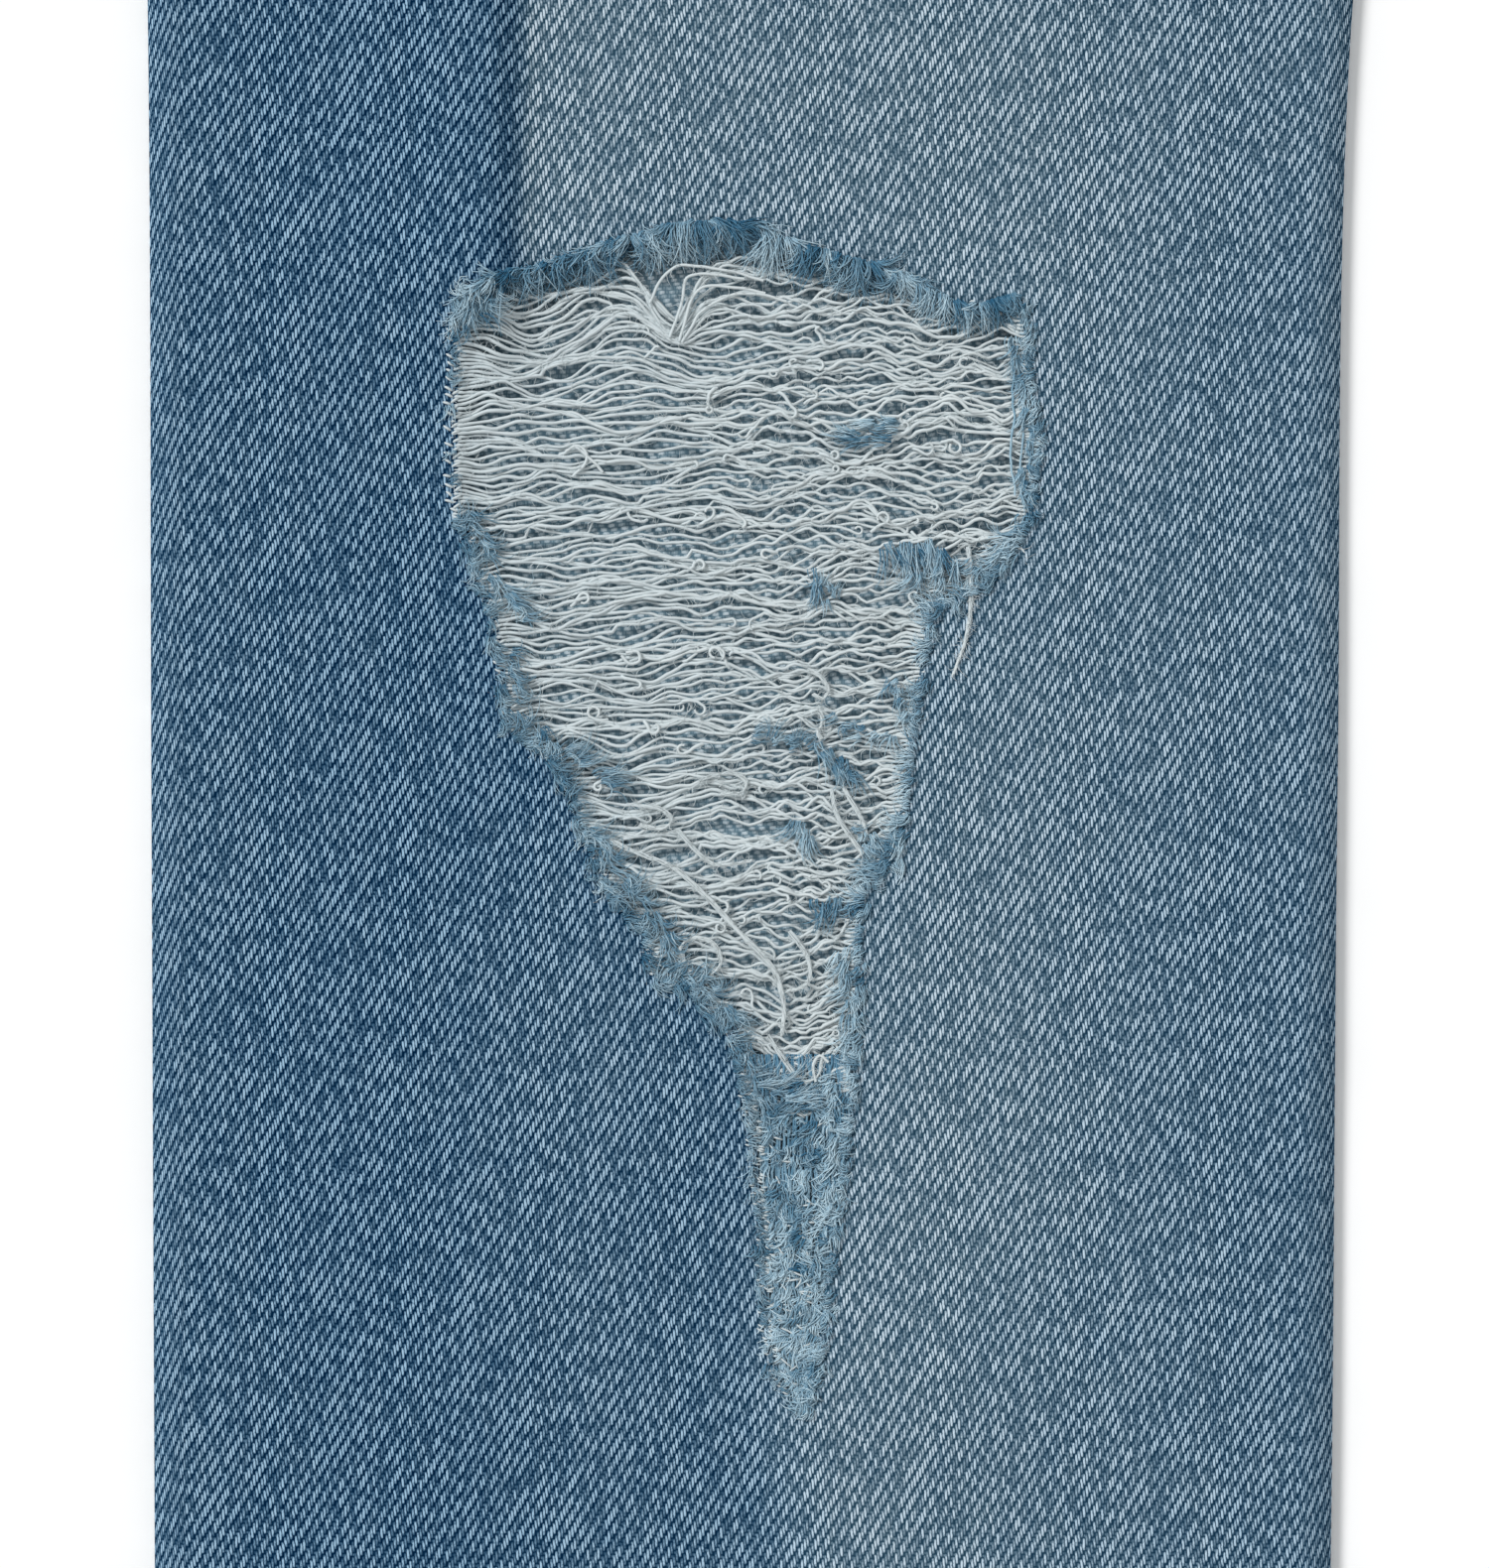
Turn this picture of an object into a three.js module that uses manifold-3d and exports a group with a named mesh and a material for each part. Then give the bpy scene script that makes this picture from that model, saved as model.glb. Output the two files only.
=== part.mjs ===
// Ripped slim jeans, laid flat and face up on a surface.
// Millimetres, +Z up, waist towards +Y, the wearer's right leg on the -X side.
// "down" is the distance from the waistband's top edge towards the hems.
// "across" is the distance from the centre line, on either side.
import * as THREE from 'three';
import { mergeVertices } from 'three/addons/utils/BufferGeometryUtils.js';
import Module from 'manifold-3d';

const wasm = await Module();
wasm.setup();

// ---- driving dimensions ----
const length = 1006;          // waistband top to hem
const crotch = 250;           // down to the crotch point
const gap = 0.3;              // between neighbouring pieces
const bandGap = 0.8;          // below the waistband, whose curve is drawn in longer steps
const cloth = 1.2;            // one layer of denim
const bandCloth = 2.2;        // waistband, two layers
const hemCloth = 2.0;         // turned hem, three layers pressed
const bandDepth = 38;         // waistband
const waistDip = 22;          // how far the front waist hangs below the back waist
const waistHalf = 190;        // half the laid waist
const hemDepth = 14;
const legCentre = 150;        // centre line of a leg at the knee
const kneeDown = 610;         // the middle of the rip
const edgeRound = 5;          // width of the rounding along side seams
const legRise = 3.7;          // seam level up to the top of the front panel, on a leg
const seatRise = 4.2;         // the same over the seat
const pocketLift = 1.5;       // back pockets hold the seat off the surface
const flyShift = 4;           // the left front laps past the centre line by this
const flyEnd = 190;           // down to the foot of the fly
const yokeCentre = 110;       // down to the yoke seam at the centre back
const yokeSide = 76;          // and at the side seam
const scoop = { x: 215, down: 25, across: 103, deep: 100 };   // front pocket mouth, a quarter ellipse
const loop = { width: 12, reach: 8, front: 96, backSide: 150 };
const button = { radius: 8.5, height: 3.4, across: 2 };
const rivet = { radius: 4.5, height: 1.3 };
const backPocket = { across: 112, down: 118, top: 68, foot: 60, side: 118, tip: 145 };
const coin = { inner: 134, outer: 194, down: 70 };

// Laid half-widths: [down, across] along the outer and the inner edge of a leg.
const outerEdge = [[0, 190], [38, 195], [100, 213], [160, 229], [210, 240], [250, 246], [300, 246.5],
  [350, 244], [400, 240.5], [450, 237.5], [500, 236], [610, 235.5], [722, 235], [1006, 233.5]];
const innerEdge = [[250, 0.2], [275, 2.5], [300, 8], [350, 23.5], [400, 40.5], [450, 54.5],
  [500, 62.5], [610, 64.5], [722, 65.5], [1006, 70.5]];

// The rip's edge in the ripped panel, from its knee point: [x, y], clockwise from the upper left.
const ripEdge = [[-40, 70], [-34, 74], [-27, 76], [-18, 77.5], [-10, 79.5], [-3, 80], [4, 78],
  [14, 75], [21, 73], [26, 70.5], [32, 67.5], [38.5, 69.5], [40, 65], [40.5, 55], [42, 49.5],
  [41, 44], [40, 37], [34, 29], [26, 25], [25, 15.5], [23.5, 7], [22, -7], [16, -16], [15.5, -30],
  [15, -44], [14, -51], [11.5, -72], [10, -84], [8, -89], [5, -84], [3.5, -77], [3, -65], [2, -55],
  [1.5, -48], [0, -42], [-1, -35.5], [-4.5, -32.5], [-7, -28.5], [-13, -27], [-13.5, -20.5],
  [-18, -17], [-20, -13], [-22.5, -6], [-24, -1.5], [-27, 4.5], [-33, 8], [-34, 15.5], [-35.5, 24],
  [-37, 28.5], [-39, 35], [-41, 38.5], [-41, 48], [-41, 55.5], [-40.5, 64]];
// The field of bare threads inside the fringe, in the same frame.
const threadField = [[-36, 66], [-27, 70], [-12, 73], [-3, 74], [6, 72], [20, 67], [30, 62],
  [35.5, 62], [36, 42], [30, 34], [21, 28], [19, 8], [16, -8], [11, -17], [10.5, -42], [5, -42],
  [3.5, -33], [-3, -26], [-9, -17], [-16, -7], [-21, 4], [-29, 15], [-32, 28], [-36, 40]];

// Creases pressed into the front: a ridge from one point to another, [x, down], with its height
// and how far it falls away on its -X and +X sides.
const creases = [
  { from: [-186, 395], to: [-188.5, 531], low: 24, high: 4.5, height: 2.0 },
  { from: [-141, 702], to: [-127, 830], low: 5.5, high: 28, height: 1.8 },
  { from: [-60, 236], to: [-160, 196], low: 10, high: 16, height: 1.3 },
  { from: [60, 236], to: [160, 196], low: 16, high: 10, height: 1.3 },
  { from: [-176, 900], to: [-120, 950], low: 14, high: 14, height: 1.2 },
  { from: [186, 560], to: [176, 760], low: 22, high: 8, height: 1.6 },
  { from: [128, 640], to: [110, 500], low: 8, high: 26, height: 1.4 },
  { from: [178, 890], to: [130, 945], low: 14, high: 14, height: 1.2 },
];
const creaseFade = 18;        // how softly a crease ends

// ---- small helpers ----
function clamp(value) {
  return Math.min(1, Math.max(0, value));
}

function ease(from, to, at) {
  const t = clamp((at - from) / (to - from));
  return t * t * (3 - 2 * t);
}

function mix(a, b, t) {
  return a + (b - a) * t;
}

// A smooth line through stations [position, value].
function along(stations, at) {
  const last = stations.length - 1;
  const slope = (i) => {
    const a = stations[Math.max(0, i - 1)];
    const b = stations[Math.min(last, i + 1)];
    return (b[1] - a[1]) / (b[0] - a[0]);
  };
  const x = Math.min(stations[last][0], Math.max(stations[0][0], at));
  let i = 0;
  while (i < last - 1 && stations[i + 1][0] < x) i += 1;
  const [x0, y0] = stations[i];
  const [x1, y1] = stations[i + 1];
  const w = x1 - x0;
  const t = (x - x0) / w;
  const h = 1 - t;
  return h * h * (1 + 2 * t) * y0 + t * t * (3 - 2 * t) * y1
    + h * h * t * w * slope(i) - t * t * h * w * slope(i + 1);
}

function yAt(down) {
  return length / 2 - down;
}

// ---- the laid form ----
function outerAt(down) {
  return along(outerEdge, down);
}

function innerAt(down, side) {
  if (down >= crotch) return along(innerEdge, down);
  const lap = flyShift * (1 - ease(flyEnd - 25, flyEnd, down));
  return gap / 2 - side * lap;
}

function seatLift(down) {
  return pocketLift * (1 - ease(272, 325, down));
}

function seamLevel(down) {
  return seatLift(down) + cloth + gap;
}

// How much of the way a front waist edge dips, at this distance across.
function dipAt(across) {
  return waistDip * (1 - Math.min(1, across / waistHalf) ** 2);
}

function creaseHeight(x, down) {
  let height = 0;
  for (const crease of creases) {
    const dx = crease.to[0] - crease.from[0];
    const dy = crease.to[1] - crease.from[1];
    const run = Math.hypot(dx, dy);
    const px = x - crease.from[0];
    const py = down - crease.from[1];
    const t = (px * dx + py * dy) / run;
    const off = (px * dy - py * dx) / run * Math.sign(dy);
    const width = off < 0 ? crease.low : crease.high;
    const over = Math.max(0, -t, t - run) / creaseFade;
    height += crease.height * Math.exp(-((off / width) ** 2) - over * over);
  }
  return height;
}

// Rise of the front's outer face over the seam level, away from its edges.
function frontRise(x, down) {
  const across = Math.abs(x);
  const onLeg = ease(crotch, 330, down);
  const inner = Math.max(0, innerAt(down, 0));
  const u = clamp((across - inner) / (outerAt(down) - inner));
  const loft = 0.8 * Math.sin(Math.PI * u) * onLeg;
  const fly = 1.7 * Math.exp(-(((x - 8) / 34) ** 2)) * ease(38, 58, down) * (1 - ease(185, 235, down));
  const flat = 1 - ease(length - 60, length - 30, down);
  return mix(seatRise, legRise, onLeg) + (loft + fly + creaseHeight(x, down)) * flat;
}

// ---- geometry ----
function meshGeometry(points, faces) {
  let volume = 0;
  for (const [a, b, c] of faces) {
    volume += points[a].dot(new THREE.Vector3().crossVectors(points[b], points[c]));
  }
  const geometry = new THREE.BufferGeometry();
  geometry.setAttribute('position', new THREE.Float32BufferAttribute(points.flatMap((p) => p.toArray()), 3));
  geometry.setIndex(faces.flatMap(([a, b, c]) => (volume > 0 ? [a, b, c] : [a, c, b])));
  return geometry;
}

// A wall between two grids of points, outer[row][column] and inner[row][column].
// A closed wall joins its last column to its first.
function wallGeometry(outer, inner, closed = false) {
  const rows = outer.length;
  const columns = outer[0].length;
  const points = [...outer.flat(), ...inner.flat()];
  const shift = rows * columns;
  const at = (row, column) => row * columns + (column % columns);
  const faces = [];
  const quad = (a, b, c, d) => faces.push([a, b, c], [a, c, d]);
  const spans = closed ? columns : columns - 1;
  for (let row = 0; row < rows - 1; row += 1) {
    for (let column = 0; column < spans; column += 1) {
      const a = at(row, column);
      const b = at(row, column + 1);
      const c = at(row + 1, column + 1);
      const d = at(row + 1, column);
      quad(a, b, c, d);
      quad(shift + a, shift + d, shift + c, shift + b);
    }
  }
  for (let column = 0; column < spans; column += 1) {
    const a = at(0, column);
    const b = at(0, column + 1);
    quad(b, a, shift + a, shift + b);
    const c = at(rows - 1, column);
    const d = at(rows - 1, column + 1);
    quad(c, d, shift + d, shift + c);
  }
  if (!closed) {
    for (let row = 0; row < rows - 1; row += 1) {
      const a = at(row, 0);
      const b = at(row + 1, 0);
      quad(a, b, shift + b, shift + a);
      const c = at(row, columns - 1);
      const d = at(row + 1, columns - 1);
      quad(d, c, shift + c, shift + d);
    }
  }
  return meshGeometry(points, faces);
}

function toSolid(geometry) {
  const bare = geometry.clone();
  bare.deleteAttribute('normal');
  bare.deleteAttribute('uv');
  const merged = mergeVertices(bare, 1e-4);
  return new wasm.Manifold(new wasm.Mesh({
    numProp: 3,
    vertProperties: new Float32Array(merged.attributes.position.array),
    triVerts: new Uint32Array(merged.index.array),
  }));
}

function toGeometry(solid) {
  const mesh = solid.getMesh();
  const geometry = new THREE.BufferGeometry();
  geometry.setAttribute('position', new THREE.Float32BufferAttribute(mesh.vertProperties, 3));
  geometry.setIndex(Array.from(mesh.triVerts));
  return geometry;
}

// An upright prism over an outline of [x, y] points, tall enough to cut through everything.
function prism(outline) {
  const shape = new THREE.Shape(outline.map(([x, y]) => new THREE.Vector2(x, y)));
  const solid = new THREE.ExtrudeGeometry(shape, { depth: 60, bevelEnabled: false });
  solid.translate(0, 0, -20);
  return toSolid(solid);
}

// An outline moved inwards by a distance, corner by corner.
function inset(outline, distance) {
  const area = outline.reduce((sum, [x, y], i) => {
    const [nx, ny] = outline[(i + 1) % outline.length];
    return sum + x * ny - nx * y;
  }, 0);
  const turn = Math.sign(area);
  return outline.map(([x, y], i) => {
    const [ax, ay] = outline[(i + outline.length - 1) % outline.length];
    const [bx, by] = outline[(i + 1) % outline.length];
    const before = new THREE.Vector2(x - ax, y - ay).normalize();
    const after = new THREE.Vector2(bx - x, by - y).normalize();
    const normal = new THREE.Vector2(-(before.y + after.y), before.x + after.x).multiplyScalar(turn);
    normal.normalize();
    return [x + normal.x * distance, y + normal.y * distance];
  });
}

// ---- panels ----
const bandLevel = seamLevel(0) + seatRise;            // top of the front waistband
const roundSteps = [0, 30, 60, 90].map((degrees) => THREE.MathUtils.degToRad(degrees));
const sideSteps = { left: [0.14, 0.32, 0.5, 0.68, 0.86],
  right: [0.09, 0.17, 0.235, 0.272, 0.302, 0.37, 0.46, 0.52, 0.575, 0.66, 0.78, 0.9] };
const frontRows = { left: [60, 85, 115, 145, 175, 200, 225, 250, 275, 300, 350, 400, 450, 500, 560, 620, 690,
  760, 830, 880, 915, 950],
right: [60, 85, 115, 145, 175, 200, 225, 250, 275, 300, 350, 395, 430, 465, 498, 520, 536, 560, 600,
  650, 690, 706, 722, 745, 775, 810, 850, 900, 925, 950] };

// One point of a front panel and the direction out of the cloth there.
// The edges round down to the seam level, as a quarter ellipse.
function frontPoint(side, down, edge, step, fraction, lower) {
  const inner = innerAt(down, side);
  const outer = outerAt(down);
  const onLeg = ease(crotch - 4, crotch + 25, down);
  const angle = edge === 'middle' ? Math.PI / 2 : roundSteps[step];
  const away = edgeRound * (1 - Math.cos(angle));
  let across = mix(inner + edgeRound, outer - edgeRound, fraction);
  if (edge === 'inner') across = inner + away;
  if (edge === 'outer') across = outer - away;
  const turn = edge === 'inner' ? onLeg : 1;
  const rise = frontRise(side * across, down) - lower;
  const z = seamLevel(down) + rise * mix(1, Math.sin(angle), turn);
  const drop = 1 - ease(35, 170, down);
  const x = side * across;
  const y = yAt(down + dipAt(Math.abs(across)) * drop);
  const lean = rise * Math.cos(angle) * turn;
  const upright = mix(edgeRound, edgeRound * Math.sin(angle), turn);
  const outwards = edge === 'inner' ? -side : side;
  const normal = new THREE.Vector3(outwards * lean, 0, upright).normalize();
  return { point: new THREE.Vector3(x, y, z), normal };
}

function frontGrid(side, rows, fractions, lower, thickness) {
  const outer = [];
  const inner = [];
  for (const down of rows) {
    const row = [];
    roundSteps.forEach((_, step) => row.push(frontPoint(side, down, 'inner', step, 0, lower)));
    fractions.forEach((fraction) => row.push(frontPoint(side, down, 'middle', 0, fraction, lower)));
    [...roundSteps.keys()].reverse().forEach((step) => row.push(frontPoint(side, down, 'outer', step, 0, lower)));
    outer.push(row.map(({ point }) => point));
    inner.push(row.map(({ point, normal }) => point.clone().addScaledVector(normal, -thickness)));
  }
  return wallGeometry(outer, inner);
}

// The mouth of a front pocket, as a corner to cut away: a quarter ellipse run out past the edges.
function scoopOutline(side, smaller) {
  const outline = [];
  const steps = 14;
  for (let i = 0; i <= steps; i += 1) {
    const angle = (i / steps) * (Math.PI / 2);
    const across = scoop.x - (scoop.across - smaller) * Math.cos(angle);
    const down = scoop.down + (scoop.deep - smaller) * Math.sin(angle);
    outline.push([side * across, yAt(down)]);
  }
  outline.push([side * 300, outline[steps][1]], [side * 300, yAt(-20)], [outline[0][0], yAt(-20)]);
  return outline;
}

function ripOutline(outline) {
  return outline.map(([x, y]) => [x - legCentre, y + yAt(kneeDown)]);
}

function frontPanel(side) {
  const name = side < 0 ? 'right' : 'left';
  const rows = [bandDepth + bandGap, ...frontRows[name], length - hemDepth - gap];
  let solid = toSolid(frontGrid(side, rows, sideSteps[name], 0, cloth));
  solid = solid.subtract(prism(scoopOutline(side, 0)));
  if (side < 0) solid = solid.subtract(prism(ripOutline(ripEdge)));
  return toGeometry(solid);
}

function pocketFacing(side) {
  const rows = [bandDepth + bandGap, 60, 85, 105, 130];
  const sheet = toSolid(frontGrid(side, rows, [0.55, 0.7, 0.85], cloth + gap, cloth));
  return toGeometry(sheet.intersect(prism(scoopOutline(side, gap))));
}

function coinPocket() {
  const rows = [bandDepth + bandGap, 60, 85, 105, 130];
  const sheet = toSolid(frontGrid(-1, rows, [0.55, 0.7, 0.85], 0, cloth));
  const outline = [[-coin.inner, yAt(coin.down)], [-coin.outer, yAt(coin.down - 6)],
    [-coin.outer, yAt(150)], [-coin.inner, yAt(150)]];
  return toGeometry(sheet.intersect(prism(outline)).intersect(prism(scoopOutline(-1, 2 * gap))));
}

function flatWall(rows, columns, pointAt, thickness) {
  const outer = rows.map((row) => columns.map((column) => pointAt(row, column)));
  const inner = outer.map((row) => row.map((p) => new THREE.Vector3(p.x, p.y, p.z - thickness)));
  return wallGeometry(outer, inner);
}

function yokeLine(across) {
  return mix(yokeCentre, yokeSide, clamp(across / outerAt(yokeSide)));
}

function backPanel(side) {
  const rows = [0, 0.25, 0.5, 0.75, 1].map((t) => mix(118, crotch, t));
  const legRows = [262, 275, 300, 325, 350, 400, 450, 500, 610, 722, 860, length - hemDepth - gap];
  const columns = [0, 0.25, 0.5, 0.75, 1];
  return flatWall([null, ...rows, ...legRows], columns, (row, t) => {
    const level = row === null ? yokeSide + gap : row;
    const inner = innerAt(Math.max(level, flyEnd), 0);
    const across = mix(Math.max(inner, gap / 2), outerAt(level), t);
    const down = row === null ? yokeLine(across) + gap : row;
    return new THREE.Vector3(side * across, yAt(down), seatLift(down) + cloth);
  }, cloth);
}

function yoke(side) {
  const columns = [0, 0.5, 1];
  return flatWall([0, 1], columns, (row, t) => {
    const level = row === 0 ? bandDepth + gap : yokeSide;
    const across = mix(gap / 2, outerAt(level), t);
    const down = row === 0 ? bandDepth + gap : yokeLine(across);
    return new THREE.Vector3(side * across, yAt(down), seatLift(down) + cloth);
  }, cloth);
}

// ---- bands: a flattened ring of cloth, drawn as its middle line [x, z, normalX, normalZ] ----
function bandPath(half, low, high, columns) {
  const middle = (low + high) / 2;
  const radius = (high - low) / 2;
  const path = [];
  const bend = [-90, -45, 0, 45, 90].map((degrees) => THREE.MathUtils.degToRad(degrees));
  const backwards = [...bend].reverse();
  columns.forEach((t) => path.push([t * (half - radius), low, 0, -1]));
  bend.forEach((a) => path.push([half - radius + radius * Math.cos(a), middle + radius * Math.sin(a),
    Math.cos(a), Math.sin(a)]));
  [...columns].reverse().forEach((t) => path.push([t * (half - radius), high, 0, 1]));
  backwards.forEach((a) => path.push([-(half - radius + radius * Math.cos(a)), middle + radius * Math.sin(a),
    -Math.cos(a), Math.sin(a)]));
  return path;
}

function bandWall(paths, yAtPoint, thickness, closed) {
  const face = (sign) => paths.map((path, row) => path.map(([x, z, nx, nz]) => new THREE.Vector3(
    x + sign * nx * thickness / 2, yAtPoint(row, x, z), z + sign * nz * thickness / 2)));
  return wallGeometry(face(1), face(-1), closed);
}

function hem(side) {
  const downs = [length - hemDepth, length];
  const high = seamLevel(length) + legRise - hemCloth / 2;
  const columns = [-0.8, -0.4, 0, 0.4, 0.8];
  const paths = downs.map((down) => {
    const inner = innerAt(down, side);
    const outer = outerAt(down);
    const centre = side * (inner + outer) / 2;
    const half = (outer - inner) / 2 - hemCloth / 2 + gap;
    return bandPath(half, hemCloth / 2, high, columns).map(([x, z, nx, nz]) => [x + centre, z, nx, nz]);
  });
  return bandWall(paths, (row) => yAt(downs[row]), hemCloth, true);
}

// The waistband runs from its under end, round the back, to its over end with the buttonhole.
function waistband() {
  const low = pocketLift + bandCloth / 2;
  const high = bandLevel - bandCloth / 2;
  const over = high + bandCloth + gap;
  const middle = (low + high) / 2;
  const radius = (high - low) / 2;
  const middleAt = waistHalf - radius - bandCloth / 2;
  const bend = [-90, -45, 0, 45, 90].map((degrees) => THREE.MathUtils.degToRad(degrees));
  const path = [];
  [14, -24, -60, -95, -130, -162].forEach((x) => path.push([x, high, 0, 1]));
  [...bend].reverse().forEach((a) => path.push([-middleAt - radius * Math.cos(a), middle + radius * Math.sin(a),
    -Math.cos(a), Math.sin(a)]));
  [-150, -75, 0, 75, 150].forEach((x) => path.push([x, low, 0, -1]));
  bend.forEach((a) => path.push([middleAt + radius * Math.cos(a), middle + radius * Math.sin(a),
    Math.cos(a), Math.sin(a)]));
  [162, 130, 95, 60].forEach((x) => path.push([x, high, 0, 1]));
  [[45, 0.35], [32, 0.85], [24, 1], [0, 1], [-16, 1]].forEach(([x, t]) => path.push([x, mix(high, over, t), 0, 1]));
  const spread = outerAt(bandDepth) / waistHalf;
  const wider = path.map(([x, z, nx, nz]) => [x * mix(1, spread, clamp(Math.abs(x) / waistHalf)), z, nx, nz]);
  return bandWall([path, wider], (row, x, z) => {
    const front = clamp((z - middle) / radius);
    return yAt(row * bandDepth + dipAt(Math.abs(x)) * front);
  }, bandCloth, false);
}

// ---- belt loops, pockets, zip ----
function frontLoop(side) {
  const columns = [-0.5, 0.5].map((t) => loop.front + t * loop.width);
  const rows = [[0, 0.3], [3, 0.9], [19, 1.4], [36, 0.9], [bandDepth + 3, 0], [bandDepth + loop.reach, 0]];
  return flatWall(rows, columns, ([down, arch], across) => new THREE.Vector3(side * across,
    yAt(down + dipAt(across)), bandLevel + gap + cloth + arch), cloth);
}

function backLoop(x) {
  const rows = [0, bandDepth + loop.reach];
  const columns = [x - loop.width / 2, x + loop.width / 2];
  return flatWall(rows, columns, (down, across) => new THREE.Vector3(across, yAt(down), cloth), cloth);
}

function patchPocket(side) {
  const { across, down, top, foot, side: sideDown, tip } = backPocket;
  const outline = [[across - top, down], [across + top, down - 4], [across + foot, down + sideDown],
    [across, down + tip], [across - foot, down + sideDown]];
  const shape = new THREE.Shape(outline.map(([a, d]) => new THREE.Vector2(side * a, yAt(d))));
  return new THREE.ExtrudeGeometry(shape, { depth: pocketLift - gap, bevelEnabled: false });
}

function zipStrip() {
  const strip = { half: 14, top: 80, level: 4.6, thick: 1 };
  const rows = [strip.top, flyEnd - 4];
  return flatWall(rows, [-1, 1], (down, t) => new THREE.Vector3(t * strip.half - flyShift,
    yAt(down), strip.level), strip.thick);
}

function zipSlider() {
  const slider = new THREE.BoxGeometry(9, 26, 1.4);
  slider.translate(-flyShift, yAt(98), 4.6 + gap + 0.7);
  return slider;
}

// ---- hardware: a disc turned round its own axis, standing on the cloth ----
function stud(profile, x, down, z) {
  const lathe = new THREE.LatheGeometry(profile.map(([r, h]) => new THREE.Vector2(r, h)), 14);
  lathe.rotateX(Math.PI / 2);
  lathe.translate(x, yAt(down), z);
  const flat = toGeometry(toSolid(lathe));
  return flat;
}

function waistButton() {
  const { radius, height } = button;
  const profile = [[0, 0], [radius * 0.45, 0], [radius * 0.45, 1], [radius, 1.2], [radius, 2.2],
    [radius * 0.8, height], [radius * 0.55, height * 0.85], [0, height * 0.8]];
  const down = bandDepth / 2 + dipAt(button.across);
  return stud(profile, -button.across, down, bandLevel + bandCloth + 2 * gap);
}

function rivetAt(x, down, z) {
  const { radius, height } = rivet;
  return stud([[0, 0], [radius, 0], [radius, 0.4], [radius * 0.6, height], [0, height]], x, down, z);
}

// ---- the rip ----
function ripSheet(lowered, thickness) {
  const rows = [520, 545, 575, 610, 645, 675, 702];
  const columns = [-46, -24, 0, 24, 46];
  return toSolid(flatWall(rows, columns, (down, across) => {
    const x = across - legCentre;
    return new THREE.Vector3(x, yAt(down), seamLevel(down) + frontRise(x, down) - lowered);
  }, thickness));
}

function ripThreads() {
  const thread = { lowered: cloth + 2.2 * gap, thick: 0.8 };
  return toGeometry(ripSheet(thread.lowered, thread.thick).intersect(prism(ripOutline(inset(ripEdge, 0.4)))));
}

function ripFringe() {
  const proud = 0.4;
  const fringe = ripSheet(-proud, cloth + gap + proud).intersect(prism(ripOutline(inset(ripEdge, 0.4))));
  return toGeometry(fringe.subtract(prism(ripOutline(threadField))));
}

// ---- materials and the finished garment ----
function finish(color, roughness, metalness) {
  return () => new THREE.MeshStandardMaterial({ color, roughness, metalness });
}

const denim = finish(0x6288a6, 0.9, 0);
const darkDenim = finish(0x4f7596, 0.9, 0);
const whiteThread = finish(0xd9dedc, 0.9, 0);
const blueFringe = finish(0x7ea0bd, 0.95, 0);
const copper = finish(0xb0714b, 0.4, 1);
const brass = finish(0xb89a5e, 0.4, 1);

const jeans = new THREE.Group();

function add(name, geometry, material) {
  const mesh = new THREE.Mesh(geometry, material());
  mesh.name = name;
  jeans.add(mesh);
}

for (const [name, side] of [['right', -1], ['left', 1]]) {
  add(`front_panel_${name}`, frontPanel(side), denim);
  add(`back_panel_${name}`, backPanel(side), darkDenim);
  add(`yoke_${name}`, yoke(side), darkDenim);
  add(`pocket_facing_${name}`, pocketFacing(side), darkDenim);
  add(`back_pocket_${name}`, patchPocket(side), darkDenim);
  add(`hem_${name}`, hem(side), denim);
  add(`belt_loop_front_${name}`, frontLoop(side), denim);
  add(`belt_loop_back_${name}`, backLoop(side * loop.backSide), darkDenim);
}
add('belt_loop_back_centre', backLoop(0), darkDenim);
add('waistband', waistband(), denim);
add('coin_pocket', coinPocket(), denim);
add('zip', zipStrip(), brass);
add('zip_slider', zipSlider(), brass);
add('waist_button', waistButton(), copper);
add('rip_threads', ripThreads(), whiteThread);
add('rip_fringe', ripFringe(), blueFringe);

const scoopRivets = { across: 109, down: 52, sideAcross: 213, sideDown: 130 };
for (const [name, side] of [['right', -1], ['left', 1]]) {
  const { across, down, sideAcross, sideDown } = scoopRivets;
  const top = seamLevel(0) + seatRise + gap;
  add(`rivet_waist_${name}`, rivetAt(side * across, down + dipAt(across) * 0.9, top), copper);
  add(`rivet_side_${name}`, rivetAt(side * sideAcross, sideDown, top), copper);
}
add('rivet_coin_inner', rivetAt(-coin.inner - 6, coin.down + 8, seamLevel(0) + seatRise + gap), copper);
add('rivet_coin_outer', rivetAt(-coin.outer + 6, coin.down + 3, seamLevel(0) + seatRise + gap), copper);

export default jeans;
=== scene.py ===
# Ripped slim jeans, laid flat and face up. The looks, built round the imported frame.
import math
import random

import bmesh
import bpy
from mathutils import Matrix, Vector, noise


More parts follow.
